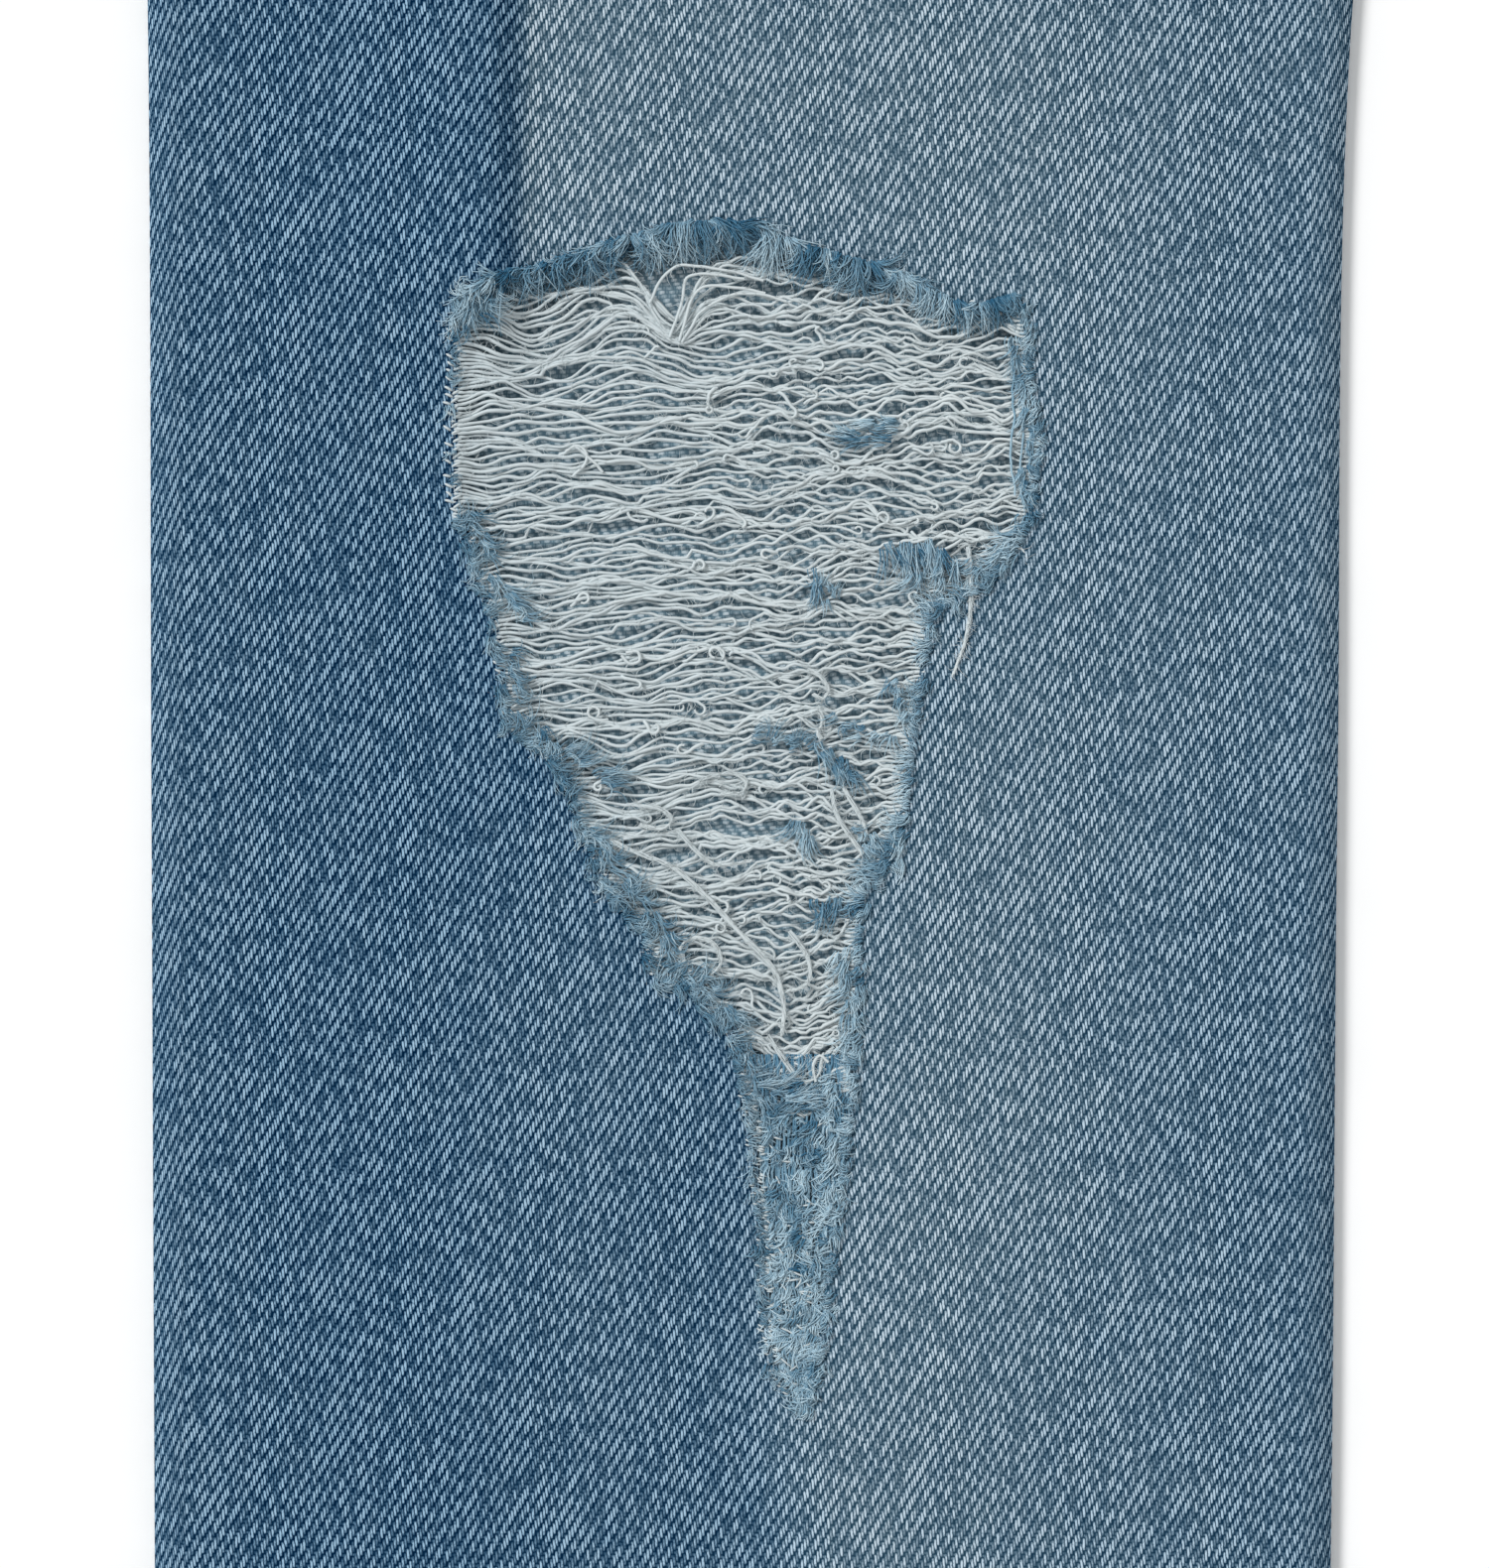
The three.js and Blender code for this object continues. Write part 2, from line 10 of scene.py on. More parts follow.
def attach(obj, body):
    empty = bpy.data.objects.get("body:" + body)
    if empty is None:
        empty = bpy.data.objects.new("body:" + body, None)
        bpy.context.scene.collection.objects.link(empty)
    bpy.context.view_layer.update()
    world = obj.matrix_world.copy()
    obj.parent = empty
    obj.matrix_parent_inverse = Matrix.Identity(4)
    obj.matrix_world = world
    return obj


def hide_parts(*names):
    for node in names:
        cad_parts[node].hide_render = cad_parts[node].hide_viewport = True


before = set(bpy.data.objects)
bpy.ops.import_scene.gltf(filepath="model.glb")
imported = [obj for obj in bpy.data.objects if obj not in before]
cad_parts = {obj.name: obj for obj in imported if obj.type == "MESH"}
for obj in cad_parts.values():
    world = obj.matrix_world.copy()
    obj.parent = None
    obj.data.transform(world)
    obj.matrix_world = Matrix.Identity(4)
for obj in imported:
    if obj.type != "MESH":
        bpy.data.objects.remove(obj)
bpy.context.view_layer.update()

mm = 0.001  # the garment is worked out in millimetres and placed in metres

# the garment's own measures, as in the frame
cut = {
    "length": 1006, "crotch": 250, "bandDepth": 38, "waistDip": 22, "waistHalf": 190,
    "legCentre": 150, "kneeDown": 610, "edgeRound": 5, "legRise": 3.7, "seatRise": 4.2,
    "pocketLift": 1.5, "cloth": 1.2, "gap": 0.3, "flyShift": 4, "flyEnd": 190, "hemDepth": 14,
    "yokeCentre": 110, "yokeSide": 76, "hemCloth": 2.0, "bandCloth": 2.2,
}
scoop = {"x": 215, "down": 25, "across": 103, "deep": 100}
outerEdge = [
    (0, 190), (38, 195), (100, 213), (160, 229), (210, 240), (250, 246), (300, 246.5), (350, 244),
    (400, 240.5), (450, 237.5), (500, 236), (610, 235.5), (722, 235), (1006, 233.5),
]
innerEdge = [
    (250, 0.2), (275, 2.5), (300, 8), (350, 23.5), (400, 40.5), (450, 54.5), (500, 62.5), (610, 64.5),
    (722, 65.5), (1006, 70.5),
]
# the rip's edge round the knee point, clockwise from its upper left
ripEdge = [
    (-40, 69.5), (-34, 72.2), (-27, 74.2), (-18, 77.2), (-10, 79.5), (-3, 80), (4, 78), (14, 75), (21, 73),
    (26, 70.5), (32, 67.5), (38.5, 69.5), (40, 65), (40.5, 55), (42, 49.5), (41, 44), (40, 37), (34, 29),
    (26, 25), (25, 15.5), (23.5, 7), (22, -7), (16, -16), (15.5, -30), (15, -44), (14, -51), (11.5, -72),
    (10, -84), (8, -89), (5, -84), (3.5, -77), (3, -65), (2, -55), (1.5, -48), (0, -42), (-1, -35.5),
    (-4.5, -32.5), (-7, -28.5), (-13, -27), (-13.5, -20.5), (-18, -17), (-20, -13), (-22.5, -6),
    (-24, -1.5), (-27, 4.5), (-33, 8), (-34, 15.5), (-35.5, 24), (-37, 28.5), (-39, 35), (-41, 38.5),
    (-41, 48), (-41, 55.5), (-40.5, 64),
]

sideNames = {-1: "right", 1: "left"}  # the wearer's sides, by the sign of x

# soft ridges: from, to as (x, down), how far each falls away on its -X and +X side, and its height
creases = [
    ((-187.4, 395), (-186.6, 532), 20, 4.2, 3.5),   # the long one into the rip's corner
    ((-141, 702), (-127, 830), 5.5, 28, 1.8),     # and below the rip's foot
    ((-60, 236), (-160, 196), 10, 16, 1.3), ((60, 236), (160, 196), 16, 10, 1.3),
    ((-176, 900), (-120, 950), 14, 14, 1.2), ((186, 560), (176, 760), 22, 8, 1.6),
    ((128, 640), (110, 500), 8, 26, 1.4), ((178, 890), (130, 945), 14, 14, 1.2),
]
# the fine fans at the hips and behind the knee of the whole leg, worn pale along their crests
whiskers = [
    ((26, 262), (96, 240), 6, 7, 0.75), ((34, 286), (118, 268), 7, 7, 0.7),
    ((44, 316), (128, 304), 7, 9, 0.55), ((-26, 262), (-92, 244), 7, 6, 0.75),
    ((-36, 290), (-122, 274), 7, 7, 0.65), ((-46, 320), (-120, 312), 9, 7, 0.5),
    ((90, 600), (168, 588), 6, 6, 0.6), ((96, 628), (186, 634), 7, 7, 0.6),
    ((104, 660), (172, 676), 6, 8, 0.5),
]


def clamp(value):
    return min(1.0, max(0.0, value))


def ease(start, end, at):
    t = clamp((at - start) / (end - start))
    return t * t * (3 - 2 * t)


def mix(a, b, t):
    return a + (b - a) * t


def bell(at, centre, width):
    return math.exp(-((at - centre) / width) ** 2)


def along(stations, at):
    last = len(stations) - 1
    x = min(stations[last][0], max(stations[0][0], at))
    i = 0
    while i < last - 1 and stations[i + 1][0] < x:
        i += 1

    def slope(k):
        a, b = stations[max(0, k - 1)], stations[min(last, k + 1)]
        return (b[1] - a[1]) / (b[0] - a[0])

    (x0, y0), (x1, y1) = stations[i], stations[i + 1]
    w = x1 - x0
    t = (x - x0) / w
    h = 1 - t
    return (h * h * (1 + 2 * t) * y0 + t * t * (3 - 2 * t) * y1
            + h * h * t * w * slope(i) - t * t * h * w * slope(i + 1))


def wave(x, y, seed, scale):
    return noise.noise(Vector((x / scale, y / scale, seed)))


def yAt(down):
    return cut["length"] / 2 - down


def outerAt(down):
    return along(outerEdge, down)


def innerAt(down, side):
    if down >= cut["crotch"]:
        return along(innerEdge, down)
    lap = cut["flyShift"] * (1 - ease(cut["flyEnd"] - 25, cut["flyEnd"], down))
    return cut["gap"] / 2 - side * lap


def seatLift(down):
    return cut["pocketLift"] * (1 - ease(272, 325, down))


def seamLevel(down):
    return seatLift(down) + cut["cloth"] + cut["gap"]


def dipAt(across):
    return cut["waistDip"] * (1 - min(1, across / cut["waistHalf"]) ** 2)


def creaseHeight(x, down, ridges):
    height = 0
    for (ax, ay), (bx, by), low, high, top in ridges:
        dx, dy = bx - ax, by - ay
        run = math.hypot(dx, dy)
        px, py = x - ax, down - ay
        t = (px * dx + py * dy) / run
        off = (px * dy - py * dx) / run * (1 if dy > 0 else -1)
        width = low if off < 0 else high
        over = max(0, -t, t - run) / 18
        height += top * math.exp(-(off / width) ** 2 - over * over)
    return height


def frontRise(x, down):
    across = abs(x)
    onLeg = ease(cut["crotch"], 330, down)
    inner = max(0, innerAt(down, 0))
    u = clamp((across - inner) / (outerAt(down) - inner))
    loft = 0.8 * math.sin(math.pi * u) * onLeg
    fly = 1.7 * bell(x, 8, 34) * ease(38, 58, down) * (1 - ease(185, 235, down))
    soft = 0.35 * wave(x, down, 3.1, 55) + 0.16 * wave(x, down, 8.4, 19)
    fold = creaseHeight(x, down, creases) + creaseHeight(x, down, whiskers)
    flat = 1 - ease(cut["length"] - 60, cut["length"] - 30, down)
    return mix(cut["seatRise"], cut["legRise"], onLeg) + (loft + fly + fold + soft) * flat


# the fade down the leg, each by distance below the waist: where the pale part's outer edge runs, how soft
# that edge is,
# how much it dims towards the inseam, and how strong it is. Its darker side is partly worn indigo and partly
# painted shade:
# the sharp stretch of the edge by the rip's upper corner (498 to 560 down) is the crease's painted shadow,
# and its soft stretch below the rip's foot (650 to 722 down) is the painted shade of that fold
wearAndShade = {
    "edge": [(0, -10), (400, -29), (498, -31.6), (560, -31.6), (600, -27), (633, -9), (650, 0), (690, 1),
             (722, 5),
             (1006, 8)],
    "soft": [(0, 60), (440, 30), (498, 3.4), (545, 4), (600, 15), (650, 12), (690, 14), (722, 24), (800, 45),
             (1006, 70)],
    "dim": [(0, 0.6), (498, 0.3), (560, 0.42), (722, 0.62), (1006, 0.7)],
    "strength": [(0, 0.35), (150, 0.55), (330, 0.95), (498, 1), (722, 0.92), (860, 0.6), (1006, 0.45)],
}


# how far the indigo has worn off, 0 to 1, with painted shade laid in: the darker left of the knee is partly
# painted shade, and so are the folds' dark sides
def fadeAndShadeAt(x, down):
    side = -1 if x < 0 else 1
    ex = x + cut["legCentre"] if side < 0 else cut["legCentre"] - x
    # the edge between pale and dark is partly worn indigo and partly painted shade of the folds
    low = along(wearAndShade["edge"], down)
    soft = along(wearAndShade["soft"], down)
    lit = ease(low - soft / 2, low + soft / 2, ex)
    lit = max(lit, 0.26 * ease(-48, -18, ex) * ease(585, 645, down))
    right = 1 - ease(14, 90, ex) * along(wearAndShade["dim"], down)
    strength = along(wearAndShade["strength"], down)
    rim = 0.1 * bell(ex, -84, 14)
    whisker = 0.3 * creaseHeight(x, down, whiskers)
    return clamp(0.05 + 0.9 * lit * right * strength + rim + whisker + 0.1 * wave(x, down, 5.5, 38))


# the camera looks straight down on a stretch of the leg this wide; the light falls from the upper left
view = {"width": 213, "lens": 100, "sensor": 36, "over": 6}
light = {"sun": 2.2, "softness": 16, "from": (-0.62, 0.55, 0.8), "sky": 0.565, "floor": 20}


def makeStage():
    camData = bpy.data.cameras.new("camera")
    camData.sensor_fit = "HORIZONTAL"
    camData.sensor_width = view["sensor"]
    camData.lens = view["lens"]
    camData.clip_start = 0.01
    camera = bpy.data.objects.new("camera", camData)
    height = view["width"] * view["lens"] / view["sensor"] + view["over"]
    camera.location = Vector((-cut["legCentre"], yAt(cut["kneeDown"]), height)) * mm
    bpy.context.collection.objects.link(camera)
    bpy.context.scene.camera = camera

    sunData = bpy.data.lights.new("window", "SUN")
    sunData.energy = light["sun"]
    sunData.angle = math.radians(light["softness"])
    sun = bpy.data.objects.new("window", sunData)
    sun.rotation_euler = Vector(light["from"]).to_track_quat("Z", "Y").to_euler()
    bpy.context.collection.objects.link(sun)

    world = bpy.data.worlds.new("studio")
    bpy.context.scene.world = world
    world.use_nodes = True
    sky = world.node_tree.nodes["Background"]
    sky.inputs["Color"].default_value = (1, 1, 1, 1)
    sky.inputs["Strength"].default_value = light["sky"]
    bpy.context.scene.view_settings.view_transform = "Standard"

    bm = bmesh.new()
    bmesh.ops.create_grid(bm, x_segments=1, y_segments=1, size=light["floor"])
    floor = bpy.data.objects.new("floor", bpy.data.meshes.new("floor"))
    bm.to_mesh(floor.data)
    bm.free()
    bpy.context.collection.objects.link(floor)
    floor.data.materials.append(floorPaint())


# an sRGB hex value as linear colour, or as the eye grades it where a Gamma node of 2.2 follows
def paint(code, graded=False):
    values = [int(code[i:i + 2], 16) / 255 for i in (1, 3, 5)]
    if not graded:
        values = [v / 12.92 if v <= 0.04045 else ((v + 0.055) / 1.055) ** 2.4 for v in values]
    return (*values, 1)


# inputs, in their order or by name, are numbers, colours or outputs of other nodes; the rest are settings
def addNode(tree, kind, inputs=(), output=0, **settings):
    node = tree.nodes.new(kind)
    for name, value in settings.items():
        setattr(node, name, value)
    for key, value in inputs.items() if isinstance(inputs, dict) else enumerate(inputs):
        if isinstance(value, bpy.types.NodeSocket):
            tree.links.new(value, node.inputs[key])
        else:
            node.inputs[key].default_value = value
    return None if output is None else node.outputs[output]


mathNode, noiseNode, mixNode = "ShaderNodeMath", "ShaderNodeTexNoise", "ShaderNodeMix"
mixFactor, mixLow, mixHigh, mixColour = 0, 6, 7, 2  # where a colour Mix node keeps its inputs and its output


def newMaterial(name, roughness, specular=0.12, metallic=0.0):
    material = bpy.data.materials.new(name)
    material.use_nodes = True
    shader = material.node_tree.nodes["Principled BSDF"]
    shader.inputs["Roughness"].default_value = roughness
    shader.inputs["Metallic"].default_value = metallic
    shader.inputs["Specular IOR Level"].default_value = specular
    return material, material.node_tree, shader


def floorPaint():
    # matt white board: even and shadow-catching
    material, tree, shader = newMaterial("matt white board", 0.9)
    place = addNode(tree, "ShaderNodeTexCoord", output="Object")
    # mottling of about 11 mm
    grain = addNode(tree, noiseNode, {"Vector": place, "Scale": 90.0, "Detail": 3.0})
    tones = {mixFactor: grain, mixLow: paint("#fbfcfc"), mixHigh: paint("#ffffff")}
    shade = addNode(tree, mixNode, tones, mixColour, data_type="RGBA")
    tree.links.new(shade, shader.inputs["Base Color"])
    return material


# 3/1 right-hand twill: the face shows warp floats over three picks, the wrong side shows the weft.
# Pitches are in millimetres; under is the part of each repeat of four picks where the yarn dives
weave = {
    "warpPitch": 0.3735, "weftPitch": 0.577, "repeat": 4, "skew": math.tan(math.radians(4)), "sway": 0.56,
    "uneven": 0.055, "under": 0.25, "lean": 0.5, "wrongLean": 0.1, "narrow": 4.3,
}


def weaveParts(tree, wrongSide):
    dive = weave["under"]
    tilt = weave["wrongLean"] if wrongSide else weave["lean"]
    grain = addNode(tree, "ShaderNodeUVMap", uv_map="grain")
    wander = addNode(tree, noiseNode, {"Vector": grain, "Scale": 0.35, "Detail": 2.0, "Roughness": 0.6})
    sway = addNode(tree, mathNode, (wander, weave["sway"], -weave["sway"] / 2), operation="MULTIPLY_ADD")
    u = addNode(tree, "ShaderNodeSeparateXYZ", (grain,))
    v = u.node.outputs[1]
    across = addNode(tree, mathNode, (sway, 0.6, u), operation="MULTIPLY_ADD")
    across = addNode(tree, mathNode, (across, weave["warpPitch"]), operation="DIVIDE")
    upright = addNode(tree, mathNode, (u, -weave["skew"], v), operation="MULTIPLY_ADD")
    up = addNode(tree, mathNode, (upright, sway), operation="ADD")
    up = addNode(tree, mathNode, (up, weave["weftPitch"]), operation="DIVIDE")
    if wrongSide:
        across, up = up, across
    here = addNode(tree, mathNode, (across,), operation="FLOOR")
    heights, crowns = [], []
    for step in (-1, 0, 1):  # a leaning float reaches into its neighbours' columns
        end = addNode(tree, mathNode, (here, step), operation="ADD")
        turn = addNode(tree, mathNode, (up, end), operation="ADD" if wrongSide else "SUBTRACT")
        turn = addNode(tree, mathNode, (turn, weave["repeat"]), operation="DIVIDE")
        early = addNode(tree, "ShaderNodeTexWhiteNoise", {"W": end}, noise_dimensions="1D")
        turn = addNode(tree, mathNode, (early, weave["uneven"], turn), operation="MULTIPLY_ADD")
        phase = addNode(tree, mathNode, (turn,), operation="FRACT")

        # the float arches up between two dives
        onFloat = addNode(tree, mathNode, (phase, 1 / (1 - dive), -dive / (1 - dive)),
                          operation="MULTIPLY_ADD", use_clamp=True)
        arch = addNode(tree, mathNode, (onFloat, math.pi), operation="MULTIPLY")
        arch = addNode(tree, mathNode, (arch,), operation="SINE", use_clamp=True)
        rise = addNode(tree, mathNode, (arch, 0.5), operation="POWER")

        # and is round across, about a middle that leans over as it goes up
        shift = addNode(tree, mathNode, (phase, tilt, -0.6 * tilt - 0.5), operation="MULTIPLY_ADD")
        middle = addNode(tree, mathNode, (across, end), operation="SUBTRACT")
        middle = addNode(tree, mathNode, (middle, shift), operation="ADD")
        square = addNode(tree, mathNode, (middle, middle), operation="MULTIPLY")
        bulge = addNode(tree, mathNode, (square, -weave["narrow"], 1.0), operation="MULTIPLY_ADD",
                        use_clamp=True)
        bulge = addNode(tree, mathNode, (bulge,), operation="SQRT")
        heights.append(addNode(tree, mathNode, (rise, bulge), operation="MULTIPLY"))

        # each float is painted paler along its top and darker down its sides and towards its dives: painted
        # highlight and shade of its round form, times the float's own share of lost dye
        row = addNode(tree, mathNode, (turn,), operation="FLOOR")
        own = addNode(tree, "ShaderNodeCombineXYZ", (end, row))
        chance = addNode(tree, "ShaderNodeTexWhiteNoise", {"Vector": own}, noise_dimensions="2D")
        pale = addNode(tree, mathNode, (chance, 1.2), operation="POWER")
        pale = addNode(tree, mathNode, (pale, 0.95, 0.55), operation="MULTIPLY_ADD")
        core = addNode(tree, mathNode, (arch, 1.6), operation="POWER")
        core = addNode(tree, mathNode, (core, 0.6, 0.4), operation="MULTIPLY_ADD")
        ends = addNode(tree, mathNode, (arch, 3.0), operation="MULTIPLY", use_clamp=True)
        crown = bulge
        for share in (core, ends, pale):
            crown = addNode(tree, mathNode, (crown, share), operation="MULTIPLY")

        # the weft glints where it crosses over the dive
        glint = addNode(tree, mathNode, (phase, math.pi / dive), operation="MULTIPLY")
        glint = addNode(tree, mathNode, (glint,), operation="SINE", use_clamp=True)
        inDive = addNode(tree, mathNode, (phase, dive), operation="LESS_THAN")
        amount = addNode(tree, mathNode, (chance, -0.6, 0.45), operation="MULTIPLY_ADD")
        for share in (inDive, bulge, amount):
            glint = addNode(tree, mathNode, (glint, share), operation="MULTIPLY")
        crowns += [crown, glint]

    height, crown = heights[0], crowns[0]
    for other in heights[1:]:
        height = addNode(tree, mathNode, (height, other), operation="MAXIMUM")
    for other in crowns[1:]:
        crown = addNode(tree, mathNode, (crown, other), operation="MAXIMUM")
    return grain, height, crown


# deep: the indigo between the floats, darkened further as painted shade in those gaps; crown: the floats'
# pale tops, worn dye with painted highlight
faceTones = {"deep": "#07233d", "deepFaded": "#2b4556", "crown": "#99bbd4", "crownFaded": "#c9dae6"}
wrongTones = {**faceTones, "deep": "#526d7c", "deepFaded": "#66808e"}


def denim(name, tones, wrongSide=False):
    # indigo-dyed, stone-washed cotton: matt, pale float crowns over dark gaps between the yarns; the crowns
    # are partly painted highlight, the gaps partly painted shade
    material, tree, shader = newMaterial(name, 0.9, specular=0.0)
    grain, height, lit = weaveParts(tree, wrongSide)

    # worn by place, as the mesh attribute gives it (on the front panels it also holds painted fold shade), in
    # streaks 9 mm long down the warp, and in blotches of about 6 mm
    worn = addNode(tree, "ShaderNodeAttribute", output="Fac", attribute_name="fadeAndShade")
    stretch = addNode(tree, "ShaderNodeMapping", {"Vector": grain, "Scale": (1.1, 0.11, 1)})
    streak = addNode(tree, noiseNode, {"Vector": stretch, "Scale": 1.0, "Detail": 3.0})
    blotch = addNode(tree, noiseNode, {"Vector": grain, "Scale": 0.16, "Detail": 4.0, "Roughness": 0.65})
    for patch, amount in ((streak, 0.55), (blotch, 0.4)):
        change = addNode(tree, mathNode, (patch, amount, -amount / 2), operation="MULTIPLY_ADD")
        worn = addNode(tree, mathNode, (worn, change), operation="ADD")
    shades = []
    for part in ("deep", "crown"):
        ends = {mixFactor: worn, mixLow: paint(tones[part], True),
                mixHigh: paint(tones[part + "Faded"], True)}
        shades.append(addNode(tree, mixNode, ends, mixColour, data_type="RGBA"))
    deep, crown = shades
    if wrongSide:  # mostly undyed weft
        ends = {mixFactor: 0.75, mixLow: crown, mixHigh: paint("#ccd6da", True)}
        crown = addNode(tree, mixNode, ends, mixColour, data_type="RGBA")

    # single fibres, 0.15 mm across and 0.4 mm long, break up each float
    close = addNode(tree, "ShaderNodeMapping", {"Vector": grain, "Scale": (6.5, 2.6, 1)})
    fibre = addNode(tree, noiseNode, {"Vector": close, "Scale": 1.0, "Detail": 2.0})
    fibre = addNode(tree, mathNode, (fibre, 2.3, -0.13), operation="MULTIPLY_ADD")
    lit = addNode(tree, mathNode, (fibre, lit), operation="MULTIPLY")
    # the floats' painted highlight and shade pick between the gap tones and the crown tones
    ends = {mixFactor: lit, mixLow: deep, mixHigh: crown}
    shade = addNode(tree, mixNode, ends, mixColour, data_type="RGBA")
    tree.links.new(addNode(tree, "ShaderNodeGamma", (shade, 2.2)), shader.inputs["Base Color"])
    bump = addNode(tree, "ShaderNodeBump", {"Height": height, "Strength": 0.6, "Distance": 0.12 * mm})
    tree.links.new(bump, shader.inputs["Normal"])
    return material


def yarn(name, root, tip):
    # soft cotton yarn: matt, darker at its root and paler where it is worn and fluffy; each strand's tone
    # shifts it too, and on the fringe's lobes that tone holds painted highlight and shade
    material, tree, shader = newMaterial(name, 0.95, specular=0.02)
    place = addNode(tree, "ShaderNodeTexCoord", output="Object")
    grain = addNode(tree, noiseNode, {"Vector": place, "Scale": 2600.0, "Detail": 3.0})  # fibre, about 0.4 mm
    shift = addNode(tree, mathNode, (grain, 0.5, -0.25), operation="MULTIPLY_ADD")
    for attribute, amount in (("along", 0.45), ("tone", 0.75)):
        part = addNode(tree, "ShaderNodeAttribute", output="Fac", attribute_name=attribute)
        shift = addNode(tree, mathNode, (part, amount, shift), operation="MULTIPLY_ADD")
    ends = {mixFactor: shift, mixLow: paint(root, True), mixHigh: paint(tip, True)}
    shade = addNode(tree, mixNode, ends, mixColour, data_type="RGBA")
    tree.links.new(addNode(tree, "ShaderNodeGamma", (shade, 2.2)), shader.inputs["Base Color"])
    return material


def wornMetal(name, base, worn):
    # plated brass, tumbled in the wash: soft highlights and darker pits of about 1 mm
    material, tree, shader = newMaterial(name, 0.42, specular=0.5, metallic=1.0)
    place = addNode(tree, "ShaderNodeTexCoord", output="Object")
    grit = addNode(tree, noiseNode, {"Vector": place, "Scale": 900.0, "Detail": 5.0})
    ends = {mixFactor: grit, mixLow: paint(base), mixHigh: paint(worn)}
    tree.links.new(addNode(tree, mixNode, ends, mixColour, data_type="RGBA"), shader.inputs["Base Color"])
    rough = addNode(tree, mathNode, (grit, 0.3, 0.25), operation="MULTIPLY_ADD")
    tree.links.new(rough, shader.inputs["Roughness"])
    bump = addNode(tree, "ShaderNodeBump", {"Height": grit, "Strength": 0.3, "Distance": 0.1 * mm})
    tree.links.new(bump, shader.inputs["Normal"])
    return material


makeStage()
denimFace = denim("denim face", faceTones)
denimWrong = denim("denim wrong side", wrongTones, wrongSide=True)
weftYarn = yarn("undyed weft yarn", "#c7d3d8", "#ced7d9")
warpYarn = yarn("frayed indigo warp", "#30607f", "#c6dee9")
seamThread = yarn("topstitch thread", "#a97b45", "#c79a5f")
copper = wornMetal("worn copper plate", "#7c4a33", "#b5805e")
brass = wornMetal("zip brass", "#8a6f3c", "#c2a566")
print("materials ready")


def frontHeight(side, across, down, lower=0.0):
    inner, outer = innerAt(down, side), outerAt(down)
    onLeg = ease(cut["crotch"] - 4, cut["crotch"] + 25, down)
    rise = frontRise(side * across, down) - lower

    def swell(edge, amount):
        bend = math.acos(1 - clamp(edge / cut["edgeRound"]))
        return mix(1, math.sin(bend), amount)

    return seamLevel(down) + rise * swell(across - inner, onLeg) * swell(outer - across, 1)


# a front piece's outer face at (across, down): place in mm, how far the grain slips, and the fade with its
# painted shade
def frontPlace(side, across, down, lower=0.0):
    z = frontHeight(side, across, down, lower)
    drop = 1 - ease(35, 170, down)
    near = min(outerAt(down) - across, across - innerAt(down, side) if down > cut["crotch"] else 99)
    slip = 1.9 * (1 - clamp(near / cut["edgeRound"])) * (1 if outerAt(down) - across < 50 else -1)
    x = side * across
    return (x, yAt(down + dipAt(across) * drop), z), side * slip, fadeAndShadeAt(x, down)


def insideOf(outline, x, y):
    found = False
    for i, (bx, by) in enumerate(outline):
        ax, ay = outline[i - 1]
        if (ay > y) != (by > y) and x < (bx - ax) * (y - ay) / (by - ay) + ax:
            found = not found
    return found


def nearestOn(outline, x, y):
    best = (1e9, x, y)
    for i, (bx, by) in enumerate(outline):
        ax, ay = outline[i - 1]
        dx, dy = bx - ax, by - ay
        t = clamp(((x - ax) * dx + (y - ay) * dy) / (dx * dx + dy * dy))
        px, py = ax + dx * t, ay + dy * t
        far = math.hypot(px - x, py - y)
        if far < best[0]:
            best = (far, px, py)
    return best


# follows an outline with the nearest points of the sheet, then deletes the faces on one side of it
def cutAlong(bm, outline, keepInside, reach):
    xs, ys = [p[0] for p in outline], [p[1] for p in outline]
    box = (min(xs) - 3, max(xs) + 3, min(ys) - 3, max(ys) + 3)
    for v in bm.verts:
        x, y = v.co.x / mm, v.co.y / mm
        if box[0] < x < box[1] and box[2] < y < box[3]:
            far, px, py = nearestOn(outline, x, y)
            if far < reach:
                v.co.x, v.co.y = px * mm, py * mm
    doomed = []
    for face in bm.faces:
        middle = face.calc_center_median() / mm
        within = box[0] < middle.x < box[1] and box[2] < middle.y < box[3] and insideOf(outline, middle.x,
                                                                                        middle.y)
        if within != keepInside:
            doomed.append(face)
    bmesh.ops.delete(bm, geom=doomed, context="FACES")
    bmesh.ops.dissolve_degenerate(bm, dist=0.02 * mm, edges=bm.edges)


def placeObject(name, bm):
    mesh = bpy.data.meshes.new(name)
    bm.to_mesh(mesh)
    bm.free()
    mesh.shade_smooth()
    piece = bpy.data.objects.new(name, mesh)
    bpy.context.collection.objects.link(piece)
    return piece


# every piece rides on the one body, and the first of a group stands in for its CAD nodes
def finishPiece(piece, slot, *nodes):
    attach(piece, "root")
    if nodes:
        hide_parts(*nodes)
